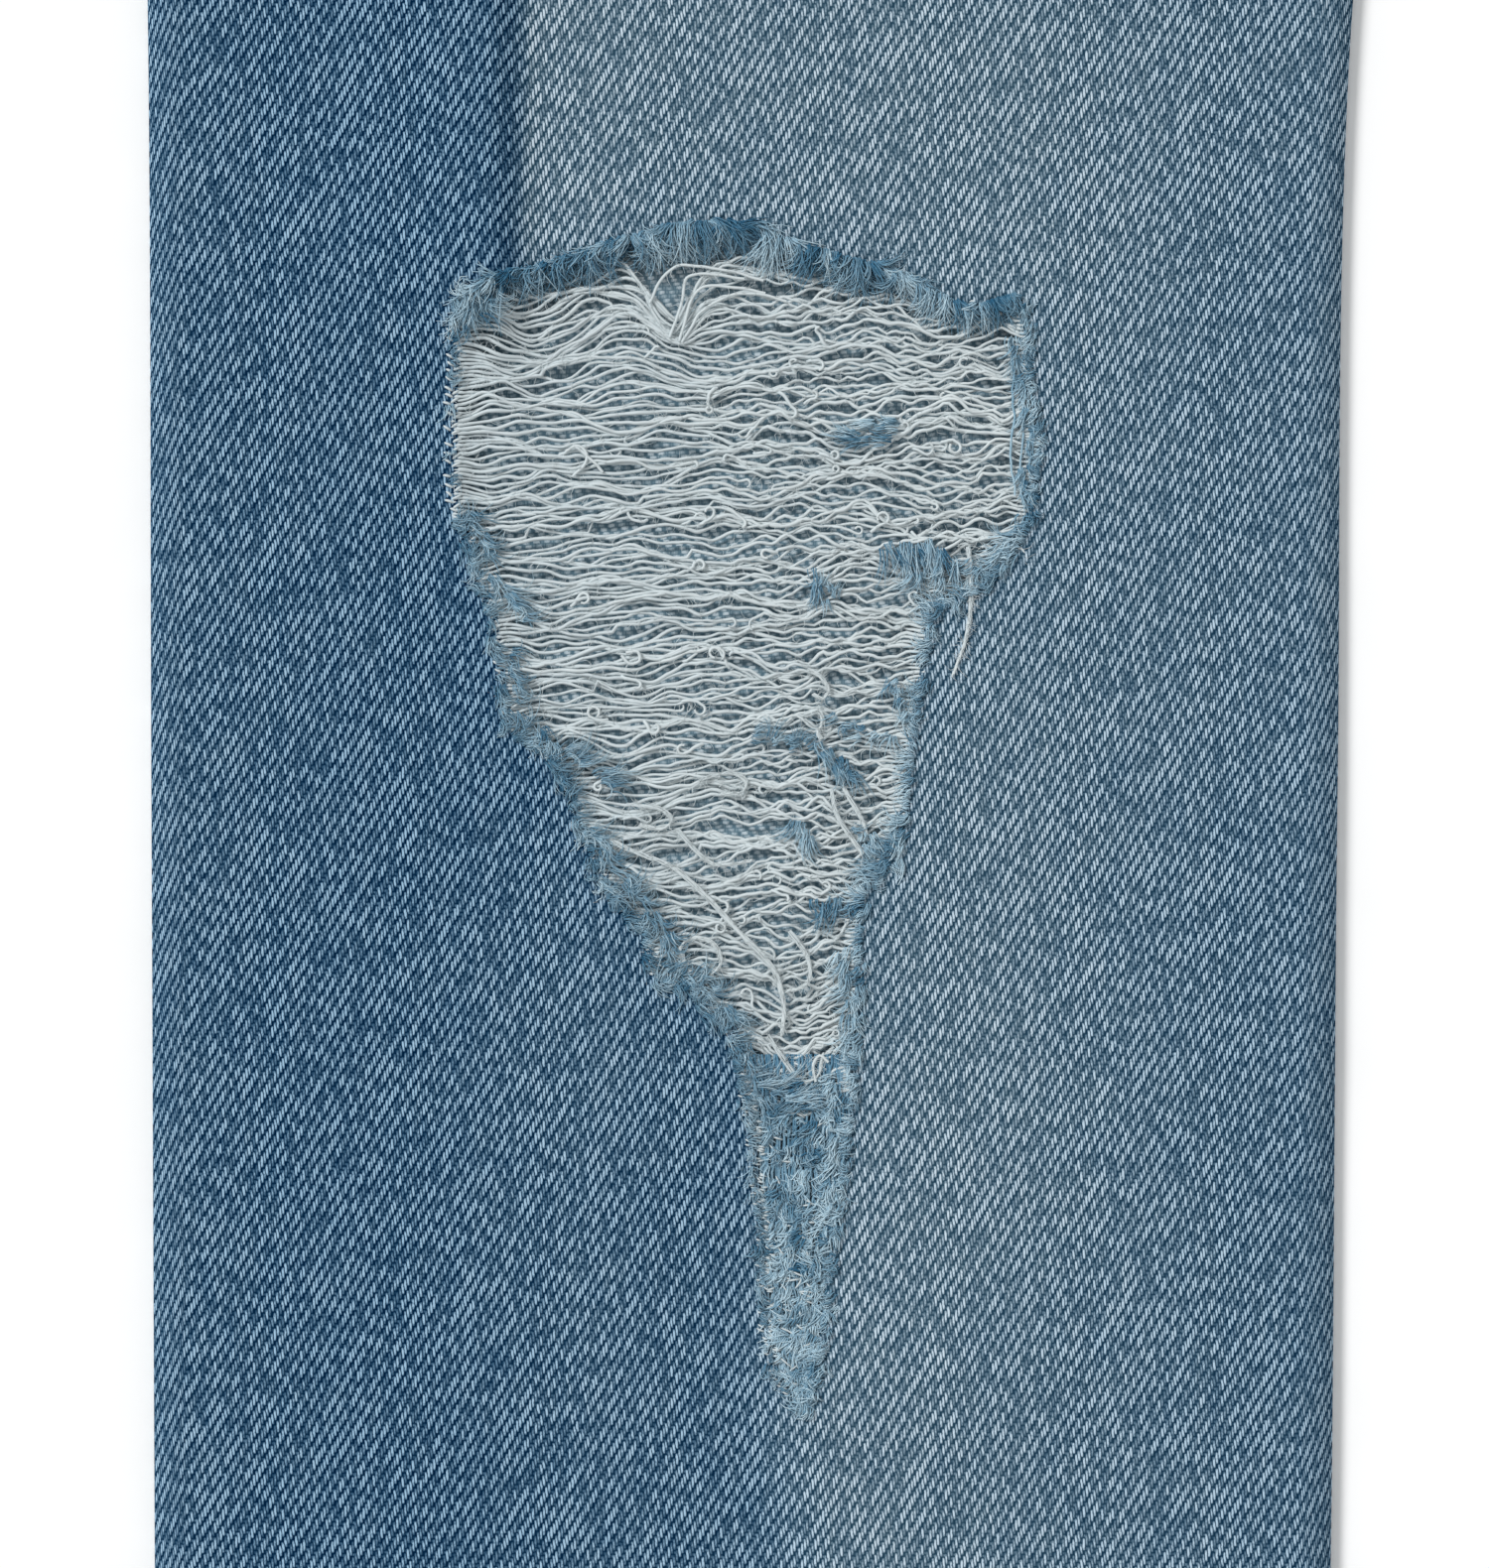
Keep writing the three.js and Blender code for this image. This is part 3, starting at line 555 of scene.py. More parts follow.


# a cloth piece on a grid of columns and rows; place gives (x, y, z), slip of the grain, fade (with painted
# shade on the front panels)
def makeCloth(name, columns, rows, place, thickness, cuts=(), facing="up", wrap=None, ownGrain=False):
    bm = bmesh.new()
    bmesh.ops.create_grid(bm, x_segments=len(columns) - 1, y_segments=len(rows) - 1, size=0.5)
    fadeAndShade = bm.verts.layers.float.new("fadeAndShade")
    slip = bm.verts.layers.float.new("slip")
    for v in bm.verts:
        column = columns[round((v.co.x + 0.5) * (len(columns) - 1))]
        row = rows[round((v.co.y + 0.5) * (len(rows) - 1))]
        point, v[slip], v[fadeAndShade] = place(column, row)
        v.co = Vector(point) * mm
    for outline, keepInside, reach in cuts:
        cutAlong(bm, outline, keepInside, reach)
    if wrap or ownGrain:
        if wrap:
            bmesh.ops.remove_doubles(bm, verts=bm.verts, dist=0.02 * mm)
        bm.normal_update()
        wanted = max(bm.faces, key=lambda f: f.calc_center_median().z)
        turned = wanted.normal.z < 0
    else:
        bm.normal_update()
        up = sum(f.normal.z for f in bm.faces) > 0
        turned = up != (facing == "up")
    if turned:
        bmesh.ops.reverse_faces(bm, faces=bm.faces)
    grain = bm.loops.layers.uv.new("grain")
    for face in bm.faces:
        for loop in face.loops:
            v = loop.vert
            u = v[slip] if wrap or ownGrain else v.co.x / mm + v[slip]
            loop[grain].uv = (u, v.co.y / mm)
    if wrap:  # the seam of a ring: keep each face's grain on one side of it
        for face in bm.faces:
            us = [loop[grain].uv.x for loop in face.loops]
            if max(us) - min(us) > wrap / 2:
                for loop in face.loops:
                    if loop[grain].uv.x < wrap / 2:
                        loop[grain].uv.x += wrap
    piece = placeObject(name, bm)
    piece.data.materials.append(denimFace)
    piece.data.materials.append(denimWrong)
    shell = piece.modifiers.new("thickness", "SOLIDIFY")
    shell.thickness = thickness * mm
    shell.offset = -1
    shell.use_even_offset = False
    shell.material_offset = 1
    shell.material_offset_rim = 1
    return piece


def spaced(start, end, step):
    count = max(1, round(abs(end - start) / step))
    return [mix(start, end, i / count) for i in range(count + 1)]


def joinSpans(*spans):
    values = [spans[0][0]]
    for span in spans:
        values += span[1:]
    return values


roundings = [cut["edgeRound"] * (1 - math.cos(math.radians(a))) for a in (0, 12, 26, 40, 54, 68, 80, 90)]


def scoopOutline(side, smaller):
    outline = []
    steps = 40
    for i in range(steps + 1):
        angle = i / steps * math.pi / 2
        across = scoop["x"] - (scoop["across"] - smaller) * math.cos(angle)
        outline.append((side * across, yAt(scoop["down"] + (scoop["deep"] - smaller) * math.sin(angle))))
    outline += [(side * 300, outline[-1][1]), (side * 300, yAt(-40)), (outline[0][0], yAt(-40))]
    return outline


rip = [(x - cut["legCentre"], y + yAt(cut["kneeDown"])) for x, y in ripEdge]


def makeFront(side):
    name = sideNames[side]
    inner = [("inner", r) for r in roundings[:-1]]
    outer = [("outer", r) for r in reversed(roundings[:-1])]
    if side < 0:
        middle = joinSpans(spaced(0, 0.225, 0.028), spaced(0.225, 0.77, 0.0088), spaced(0.77, 1, 0.028))
        rows = joinSpans(spaced(38.8, 140, 3.4), spaced(140, 528, 5.5), spaced(528, 701, 1.45),
                         spaced(701, 991.7, 5.5))
    else:
        middle = spaced(0, 1, 0.022)
        rows = joinSpans(spaced(38.8, 140, 3.4), spaced(140, 991.7, 5.6))
    columns = inner + [("middle", t) for t in middle] + outer

    def place(column, down):
        kind, value = column
        low, high = innerAt(down, side), outerAt(down)
        if kind == "inner":
            across = low + value
        elif kind == "outer":
            across = high - value
        else:
            across = mix(low + cut["edgeRound"], high - cut["edgeRound"], value)
        return frontPlace(side, across, down)

    cuts = [(scoopOutline(side, 0), False, 1.7)]
    if side < 0:
        cuts.append((rip, False, 0.7))
    piece = makeCloth("denimFront" + name.capitalize(), columns, rows, place, cut["cloth"], cuts)
    finishPiece(piece, "denim", "front_panel_" + name)


# the back of each leg lies face down; under the rip it stands a little off the surface
def makeBack(side):
    name = sideNames[side]

    def place(column, row):
        down = row
        low = max(innerAt(max(down, cut["flyEnd"]), 0), cut["gap"] / 2)
        across = mix(low, outerAt(down), column)
        x = side * across
        if row < 120:
            line = mix(cut["yokeCentre"], cut["yokeSide"], clamp(across
                                                                 / outerAt(cut["yokeSide"]))) + cut["gap"]
            down = line + (120 - line) * (row - 77) / 43
        dx, dy = x + cut["legCentre"], cut["kneeDown"] - down
        lift = 2.3 * math.exp(-(dx / 46) ** 4 - ((dy - 6) / 78) ** 4) if side < 0 else 0
        lift += 0.25 * (0.5 + wave(x, down, 2.2, 24)) * (1 if lift > 0.5 else 0) * lift / 2.3
        edge = min(outerAt(down) - across, across - low if down > 270 else 99)
        round2 = 0.35 * (1 - clamp(edge / 1.2)) ** 2
        fadeAndShade = 0.62 * fadeAndShadeAt(x, down) + 0.12
        return (x, yAt(down), seatLift(down) + lift + round2), 0, fadeAndShade

    columns = joinSpans(spaced(0, 0.03, 0.015), spaced(0.03, 0.97, 0.028), spaced(0.97, 1, 0.015))
    rows = joinSpans(spaced(77, 120, 6), spaced(120, 500, 9), spaced(500, 720, 4), spaced(720, 991.7, 9))
    piece = makeCloth("denimBack" + name.capitalize(), columns, rows, place, cut["cloth"], facing="down")
    finishPiece(piece, "denim", "back_panel_" + name)


for side in sideNames:
    makeFront(side)
for side in sideNames:
    makeBack(side)
print("leg panels ready")


# strands: yarn, fibre and stitches are round tubes along lines
def strandTree():
    tree = bpy.data.node_groups.new("strand", "GeometryNodeTree")
    tree.interface.new_socket("Geometry", in_out="INPUT", socket_type="NodeSocketGeometry")
    tree.interface.new_socket("Geometry", in_out="OUTPUT", socket_type="NodeSocketGeometry")
    curve = addNode(tree, "GeometryNodeMeshToCurve", (addNode(tree, "NodeGroupInput"),))
    width = addNode(tree, "GeometryNodeInputNamedAttribute", ("strandRadius",), "Attribute",
                    data_type="FLOAT")
    ring = addNode(tree, "GeometryNodeCurvePrimitiveCircle", {"Resolution": 4, "Radius": 1.0})
    tube = addNode(tree, "GeometryNodeCurveToMesh",
                   {"Curve": curve, "Profile Curve": ring, "Scale": width, "Fill Caps": True})
    addNode(tree, "NodeGroupOutput", (tube,), output=None)
    return tree, ring.node


strand, strandRing = strandTree()


# lines: list of (points in mm, radius at each point in mm, tone 0 dark to 1 pale)
def makeStrands(name, lines, sides, material):
    bm = bmesh.new()
    radiusLayer = bm.verts.layers.float.new("strandRadius")
    wayLayer = bm.verts.layers.float.new("along")
    toneLayer = bm.verts.layers.float.new("tone")
    for points, radii, tone in lines:
        before = None
        for i, point in enumerate(points):
            v = bm.verts.new(Vector(point) * mm)
            v[radiusLayer] = radii[i] * mm
            v[wayLayer] = i / (len(points) - 1)
            v[toneLayer] = tone
            if before:
                bm.edges.new((before, v))
            before = v
    guide = placeObject(name + "Guide", bm)
    strandRing.inputs["Resolution"].default_value = sides
    guide.modifiers.new("strand", "NODES").node_group = strand
    done = guide.evaluated_get(bpy.context.evaluated_depsgraph_get())
    mesh = bpy.data.meshes.new_from_object(done)
    mesh.name = name
    mesh.shade_smooth()
    bpy.data.objects.remove(guide)
    mesh.materials.clear()
    mesh.materials.append(material)
    piece = bpy.data.objects.new(name, mesh)
    bpy.context.collection.objects.link(piece)
    print(name, "faces", len(mesh.polygons))
    return piece


# height of the ripped panel's outer face at (ex, ey) from the knee point
def ripTop(ex, ey):
    x, down = ex - cut["legCentre"], cut["kneeDown"] - ey
    return frontHeight(-1, -x, down)


def ripPoint(ex, ey, z):
    return (ex - cut["legCentre"], ey + yAt(cut["kneeDown"]), z)


# places where the bare threads have parted: x, y, half length, opening
partings = [
    (-27.4, 58.8, 2.5, 0.9), (-32.3, 55.4, 2.6, 0.8), (-24.3, 56.4, 3, 1), (-36, 52.3, 2, 0.7),
    (-28.6, 48, 2, 0.8), (-16.2, 50.4, 2.6, 1), (-18.7, 49.2, 2, 0.6), (-19.7, 47.9, 2, 0.6),
    (-7.7, 47.7, 3, 1), (-12.2, 44.9, 2.5, 0.7), (-31.5, 44.3, 2.2, 0.7), (-23.3, 44.3, 2.2, 0.8),
    (-14.6, 41.5, 2.5, 0.7), (-5.2, 39.6, 2.6, 0.7), (-32.3, 35.6, 2.5, 1.3), (-20.9, 36, 5, 1.5),
    (-10.2, 34.3, 4, 1.4), (-23.3, 33, 3, 0.8), (-3, 37.2, 2, 0.6), (-12.2, 70.6, 1.6, 1.4),
    (-3, 62.9, 3, 0.9), (-2.6, 70.5, 3, 0.9), (-29.8, 67, 2.4, 1), (-29.1, 63.5, 2, 0.7),
    (20.7, 56.7, 3.4, 1.3), (26.6, 55.1, 1.6, 1), (7, 57.9, 2.6, 0.8), (16.8, 52.3, 2.6, 0.8),
    (4.4, 49.5, 3.2, 1), (33.4, 51.7, 2, 0.7), (32.2, 48.8, 2, 0.6), (30.9, 41.5, 3.2, 1.2),
    (21.5, 40, 3.5, 1.2), (25.5, 37.6, 2, 0.8), (0.6, 38.3, 2.4, 0.8), (5.8, 36, 2.6, 0.8),
    (15.7, 33.1, 2.6, 1), (31.6, 36.5, 2, 0.8), (0.3, 68.6, 2.6, 0.9), (12.8, 66.1, 3, 0.9),
    (32, 59.4, 2.4, 0.8), (34.9, 44.1, 1.6, 0.8), (24, 64, 3, 0.8), (-15.9, 22.3, 4, 1),
    (-25.5, 19.9, 3, 0.8), (-23.1, 24, 2.4, 0.8), (-11.9, 19.4, 4, 1), (-21.6, 13.5, 5, 1.5),
    (-18.1, 11.6, 4, 0.9), (-15.5, 8.7, 3, 0.8), (0.1, 14.1, 3, 1.2), (-14.8, -0.4, 2.6, 0.7),
    (-2.8, -1.3, 2.6, 0.8), (-1.4, -6.1, 4.5, 1.8), (-13.6, -6.2, 2.4, 0.8), (-4.7, -8.5, 3.5, 1.1),
    (-10.2, -10.1, 6, 1.9), (-1.1, -11.4, 4, 1.5), (-2, -16, 2.6, 0.9), (-6.8, -19.5, 2.4, 0.8),
    (12.6, 14.6, 3.5, 1.5), (12.5, 12, 3.5, 1.3), (4.8, 19, 2.6, 0.9), (18.9, 19.9, 2.4, 0.9),
    (13.2, 21.4, 2.6, 0.9), (10, 28.5, 3.4, 1.2), (22, 31.5, 3.2, 1.4), (4, 4, 2.6, 0.9), (6, -4, 2.4, 0.9),
    (7, -14, 2, 0.9), (3, -24, 1.8, 0.9),
]


def parted(x, y):
    shift = 0
    for px, py, half, opening in partings:
        dx, dy = (x - px) / half, y - py
        if abs(dx) < 2.4 and abs(dy) < 6:
            sign = 1 if dy > 0 else -1
            shift += opening * 0.62 * sign * math.exp(-dx * dx) * math.exp(-abs(dy) / 1.3)
    return shift


# the weft field as a whole: swells, gathers and bundles of neighbouring threads
def drift(x, y):
    gather = ease(60, 65, y) * (1 - ease(74, 76, y)) * bell(x, -10, 5 if x < -10 else 2.8)
    shift = (63.6 - y) * 0.78 * gather
    shift += ease(52, 64, y) * (1.9 * bell(x, -18.5, 6) - 1.9 * bell(x, -31, 6)) * (1 - 0.5 * ease(68, 73, y))
    shift -= 3.4 * bell(x, 6.5, 5.5) * (1 - ease(-34, -20, y))
    shift += 1.0 * wave(x * 0.55, y * 1.6, 1.7, 9)
    shift += threads["bundle"] * (wave(x * 0.25, y, 6.1, 2.7) + 0.5 * wave(x * 0.25, y, 2.9, 1.25))
    shift += 0.5 * wave(x * 0.3, y * 0.9, 4.9, 1.0) * ease(-14, 8, x)
    return shift + parted(x, y)


# the bare weft threads in millimetres: they hang below the cloth's face, run on under it by anchor, and
# one in eight is broken; halo and looseHalo are loose fibres per millimetre
threads = {
    "radius": 0.25, "step": 0.7, "top": 75, "foot": -44, "slope": 0.6 * weave["skew"], "below": 0.9,
    "curl": 0.45, "anchor": 2.4, "bundle": 2.3, "broken": 0.13, "halo": 0.36, "looseHalo": 0.8, "curls": 60,
}


# where the hole starts and ends along the thread that leaves the middle at height y0
def spanAt(y0):
    across = [x * 0.25 for x in range(-180, 181)]
    inner = [x for x in across if insideOf(ripEdge, x, y0 + threads["slope"] * x)]
    return (inner[0], inner[-1]) if inner else None


# a loose end goes on from (x, y, z), turning all the way round its curl
def curlEnd(x, y, z, heading, radius, turn, steps=7):
    points = []
    for _ in range(steps):
        heading += turn / steps
        x += abs(turn) * radius / steps * math.cos(heading)
        y += abs(turn) * radius / steps * math.sin(heading)
        z += 0.05
        points.append((x, y, z))
    return points


# fine fibre standing off a yarn
def hairs(rng, points, perMm, size=(0.7, 2.2)):
    lines = []
    run = sum((Vector(b) - Vector(a)).length for a, b in zip(points, points[1:]))
    for _ in range(round(run * perMm)):
        k = rng.randrange(0, len(points) - 1)
        (px, py, pz), (qx, qy, _) = points[k], points[k + 1]
        heading = math.atan2(qy - py, qx - px) + rng.gauss(0, 0.6) + (math.pi if rng.random() < 0.5 else 0)
        length = rng.uniform(*size)
        bend = rng.uniform(-1.4, 1.4)
        hair = [(px + length * t * math.cos(heading + bend * t),
                 py + length * t * math.sin(heading + bend * t),
                 pz + 0.1 + 0.35 * t) for t in (0, 0.5, 1)]
        lines.append((hair, [0.05, 0.042, 0.02], 0.9))
    return lines


def makeThreads():
    rng = random.Random(11)
    lines, fluff = [], []
    y0 = threads["top"]
    row = 0
    while y0 > threads["foot"]:
        span = spanAt(y0)
        row += 1
        y0 -= weave["weftPitch"]
        if not span:
            continue
        left, right = span
        start = left - threads["anchor"] * rng.uniform(0.4, 1.0)
        end = right + threads["anchor"] * rng.uniform(0.0, 0.35)
        runs = [(start, end)]
        if rng.random() < threads["broken"] and right - left > 18:
            breakAt = rng.uniform(left + 8, right - 4)
            runs = [(start, breakAt), (breakAt + rng.uniform(0.6, 5), end)]
        seed = rng.uniform(0, 99)
        own = threads["radius"] * rng.uniform(0.84, 1.16)
        droop = rng.uniform(-0.35, 0.35)
        for a, b in runs:
            count = max(5, round((b - a) / threads["step"]))
            points, radii = [], []
            for i in range(count + 1):
                x = mix(a, b, i / count)
                base = y0 + threads["slope"] * x
                loose = ease(0, 5, x - left) * ease(0, 4, right - x)
                curly = threads["curl"] * (0.3 + 0.95 * ease(-14, 12, x)) * (1.5 - 0.5 * ease(-20, 20, y0))
                y = base + drift(x, base) * loose
                y += loose * (curly * wave(x, seed, 0.3, 2.0) * 1.7 + 0.4 * wave(x, seed, 4.4, 5.5))
                ripple = 0.6 * wave(x, seed, 9.2, 2.4) + 0.5 * wave(x * 0.5, y * 0.7, 3.3, 6)
                bare = -threads["below"] + droop + ripple
                edge = min(x - left, right - x)
                over = 0.24 * math.sin(2 * math.pi * (x / weave["warpPitch"] + row) / weave["repeat"]) - 0.04
                z = ripTop(x, y) + mix(over - 0.6 * ease(0.3, 1.4, -edge), bare, ease(-0.6, 2.2, edge))
                points.append((x + loose * 0.3 * wave(x, seed, 7.7, 1.5), y, z))
                radii.append(own * (1 + 0.26 * wave(x, seed, 2.1, 2.6)))
            if len(runs) == 2:
                turn = rng.choice((-1, 1)) * rng.uniform(0.8, 4.2)
                last = a == start
                tip = points[-1] if last else points[0]
                hook = curlEnd(*tip, 0 if last else math.pi, rng.uniform(0.5, 1.0), turn)
                thin = [own * (1 - 0.08 * k) for k in range(len(hook))]
                points = points + hook if last else hook[::-1] + points
                radii = radii + thin if last else thin[::-1] + radii
            tone = clamp(0.64 + 0.3 * wave(a, seed, 1.1, 3) + rng.uniform(-0.12, 0.12))
            lines.append(([ripPoint(*p) for p in points], radii, tone))
            fluff += hairs(rng, [ripPoint(*p) for p in points], threads["halo"])
    return lines, fluff


# single loose threads, given one by one: points round the knee point, radius, how high over the field, tone
looseThreads = [
    ([(-20.5, -7.5), (-15, -10), (-10.5, -11.8), (-5.6, -16), (0, -22), (3.8, -26), (5.6, -31), (5.4, -36)],
     0.3, 0.5, 0.8),
    ([(-8.9, -24.3), (-8.3, -26.4), (-5.6, -27.6), (-3.4, -25.6), (-4.5, -22.8), (-7.6, -22),
      (-9.2, -23.6), (-8.6, -26)], 0.26, 0.5, 0.9),
    ([(32, 34), (32.4, 30), (32.3, 25), (31.6, 20.5), (29.8, 15.6)], 0.3, 0.7, 0.75),
    ([(12.4, -0.8), (13.2, -4.4), (15.8, -8.4), (17, -10)], 0.26, 0.6, 0.9),
    ([(14.2, -0.6), (16.8, -5.2), (17.4, -7)], 0.26, 0.6, 0.9),
    ([(-13.6, 68.8), (-12.4, 71.4), (-11, 73.3), (-8.9, 74.2), (-2.3, 73.4), (2.7, 72)], 0.22, 0.3, 0.8),
    ([(-10.8, 63.9), (-9.6, 67), (-8.8, 69.6), (-8.3, 72.4), (-5.5, 73), (0, 72.2)], 0.22, 0.35, 0.8),
    ([(-9.4, 63.3), (-8.4, 66.6), (-7.4, 69.8), (-5.6, 71.2), (-1.2, 71), (3, 70.2)], 0.22, 0.3, 0.8),
    ([(-9, 63.2), (-7.6, 65.4), (-6.4, 67.4), (-2.3, 69.8), (1.6, 70.2), (6, 69)], 0.22, 0.25, 0.8),
    ([(-24.6, 44), (-23, 45.6), (-22.6, 47.2), (-24, 48.4), (-25.6, 47.6)], 0.22, 0.3, 0.8),
    ([(-24.5, 48.6), (-21.5, 46), (-20.3, 44.6)], 0.22, 0.3, 0.8),
    ([(9, 16.4), (10.8, 15.4), (12, 13.4), (11.2, 12.2), (9.8, 12.9)], 0.25, 0.6, 0.9),
    ([(8.6, 10), (10.6, 10.4), (11.2, 8.8), (10.4, 7.4), (11, 6.4)], 0.25, 0.6, 0.9),
    ([(-17.6, 18.4), (-16.4, 17.2), (-15, 17.6), (-15.4, 19), (-17, 18.8)], 0.24, 0.5, 0.9),
    ([(-16, -3), (-12, -3.6), (-10.4, -5), (-11.6, -6.4), (-15, -5.8)], 0.25, 0.5, 0.9),
    ([(-6.4, 0.6), (-2, 1.6), (0.2, 0.4), (-0.4, -1.2), (-3.4, -1.4)], 0.25, 0.5, 0.9),
    ([(-9.6, -6.6), (-6.5, -10), (-4, -11.6), (1, -11)], 0.25, 0.5, 0.85),
    ([(6.4, -21), (8.6, -24), (9.4, -26.6), (8.6, -29), (6, -29.6)], 0.25, 0.5, 0.9),
    ([(3.4, -36), (6.4, -40.6), (8.6, -42.6), (10.6, -41.6), (11.2, -38.6)], 0.26, 0.4, 0.9),
    ([(10.2, -42.6), (9.8, -40.2), (10.8, -38.8), (12, -39.8)], 0.22, 0.5, 0.9),
]


def smoothLine(points, step=0.5):
    lengths = [0]
    for a, b in zip(points, points[1:]):
        lengths.append(lengths[-1] + math.hypot(b[0] - a[0], b[1] - a[1]))
    xs = [(far, p[0]) for far, p in zip(lengths, points)]
    ys = [(far, p[1]) for far, p in zip(lengths, points)]
    return [(along(xs, far), along(ys, far)) for far in spaced(0, lengths[-1], step)]


# loose yarns over the field: those listed, then small curls, most of them in the right half
def makeLoose():
    rng = random.Random(71)
    lines = []
    for points, radius, over, tone in looseThreads:
        plies = 6 if radius > 0.24 else 1  # the loosely twisted ones show their plies
        for ply in range(plies):
            seed = rng.uniform(0, 99)
            line = []
            for x, y in smoothLine(points):
                turn = ply * math.pi / 3 + 0.9 * (x + y) if plies > 1 else math.pi / 2
                line.append((x + radius * (0.62 * math.cos(turn) + 0.5 * wave(x, y, seed, 2)),
                             y + radius * (0.62 * math.cos(turn) + 0.5 * wave(y, x, seed, 2)),
                             ripTop(x, y) - 0.5 + over + radius * 0.5 * math.sin(turn)))
            lines.append((line, [radius * (0.46 if plies > 1 else 1)] * len(line),
                          tone + rng.uniform(-0.1, 0.1)))
    placed = 0
    while placed < threads["curls"]:
        x, y = rng.uniform(-36, 38), rng.uniform(-42, 70)
        wanted = 0.12 + 0.88 * ease(-16, 6, x) if y > 20 else 0.7
        span = spanAt(y)
        if not span or not span[0] + 3 < x < span[1] - 2 or rng.random() > wanted:
            continue
        placed += 1
        way = rng.choice((0, math.pi))
        heading = way + rng.gauss(0, 0.35)
        z = ripTop(x, y) - 0.75 + rng.uniform(0, 0.45)
        points = [(x, y, z - 0.4)]
        for _ in range(rng.randrange(3, 8)):
            heading += rng.gauss(0, 0.28)
            x += 0.55 * math.cos(heading)
            y += 0.55 * math.sin(heading)
            points.append((x, y, z))
        radius = rng.uniform(0.35, 0.85)
        points += curlEnd(x, y, z, heading, radius, rng.choice((-1, 1)) * rng.uniform(1.6, 5.2))
        own = threads["radius"] * rng.uniform(0.8, 1.1)
        radii = [own * (1 - 0.25 * i / len(points)) for i in range(len(points))]
        lines.append((points, radii, rng.uniform(0.6, 1)))
    return [([ripPoint(*p) for p in points], radii, tone) for points, radii, tone in lines]


# weft crossings laid bare beside an edge: short arcs that dive under the warps
def makeCrossings():
    rng = random.Random(53)
    lines = []

    def dash(x, y, heading, length, tone, radius=0.14):
        dx, dy = math.cos(heading) * length / 2, math.sin(heading) * length / 2
        top = ripTop(x, y)
        bow = rng.uniform(-0.12, 0.12)
        points = []
        for t in (-1, -0.5, 0, 0.5, 1):
            high = 1 - t * t
            points.append(ripPoint(x + dx * t - dy * bow * high, y + dy * t + dx * bow * high,
                                   top - 0.22 + 0.42 * high))
        lines.append((points, [radius * r for r in (0.6, 0.95, 1, 0.95, 0.6)], tone))

    y = 67.0
    row = 0
    while y > 9:
        row += 1
        y -= weave["weftPitch"]
        left = spanAt(y)[0]
        strength = 1 if y > 35 else 0.45
        for column in range(2):
            if (row + column) % 2 and rng.random() < strength * (1 - 0.2 * column):
                dash(left - 0.3 - 1.1 * column + rng.gauss(0, 0.12), y + rng.gauss(0, 0.08),
                     0.5 - column + rng.gauss(0, 0.15), rng.uniform(1.2, 1.6), rng.uniform(0.7, 1), 0.2)
    y = -44.0
    while y > -87:
        y -= weave["weftPitch"] * 0.72
        left, right = spanAt(y) or (5, 8)
        for _ in range(2):
            if rng.random() < 0.68:
                dash(left + rng.choice((-1.1, 0.0, 0.3)) + rng.gauss(0, 0.2), y + rng.gauss(0, 0.1),
                     rng.gauss(-0.25, 0.28), rng.uniform(0.8, 1.3), rng.uniform(0.7, 1))
        if rng.random() < 0.12 + 0.8 * bell(y, -73, 7) + 0.2 * bell(y, -52, 4):
            x = mix(left, right, rng.uniform(0.2, 0.75))
            dash(x, y, rng.gauss(-0.2, 0.4), rng.uniform(1.4, 2.6), rng.uniform(0.8, 1))
    return lines


# a lobe of frayed warp: fibres from a short root line bowed together, those in its middle standing proud and
# painted paler as a highlight, those at its sides painted darker as shade
def lobe(rng, x, y, heading, size, width, count, tone, bow=0.0, puff=0.9, wild=0.3, thick=0.085, lift=0.0,
         steps=4):
    lines = []
    base = ripTop(x, y) + lift
    for _ in range(count):
        off = rng.uniform(-1, 1)
        px = x - math.sin(heading) * off * width / 2 + rng.gauss(0, 0.1)
        py = y + math.cos(heading) * off * width / 2 + rng.gauss(0, 0.1)
        step = size * rng.uniform(0.5, 1.15) / steps
        turn = bow + 0.2 * off + rng.gauss(0, wild)
        angle = heading - turn * 0.4 + rng.gauss(0, wild * 0.4)
        high = puff * (1.1 - off * off) * rng.uniform(0.4, 1.2)
        own = thick * rng.uniform(0.7, 1.15)
        points, radii = [], []
        for i in range(steps + 1):
            s = i / steps
            z = base + high * math.sin(math.pi * min(1, s + 0.12)) - 0.55 * s * s
            points.append(ripPoint(px, py, z))
            radii.append(own * (1 - 0.7 * s * s))
            angle += 1.5 * turn / steps
            px += step * math.cos(angle)
            py += step * math.sin(angle)
        # painted highlight on the lobe's middle fibres and painted shade on its side fibres, with a random
        # spread
        lines.append((points, radii, clamp(tone + 0.22 * (0.5 - off * off) + rng.uniform(-0.16, 0.16))))
    return lines


# fibre counts to a lobe, and the fibres' thickness in millimetres
fringe = {
    "every": 0.8, "topCount": 22, "underCount": 11, "sideCount": 15, "topThick": 0.1, "tuftThick": 0.095,
}


# places along an outline, with the way into the hole at each
def edgeWalk(outline, step):
    for i, (bx, by) in enumerate(outline):
        ax, ay = outline[i - 1]
        run = math.hypot(bx - ax, by - ay)
        count = max(1, round(run / step))
        for k in range(count):
            t = (k + 0.5) / count
            yield mix(ax, bx, t), mix(ay, by, t), (by - ay) / run, -(bx - ax) / run


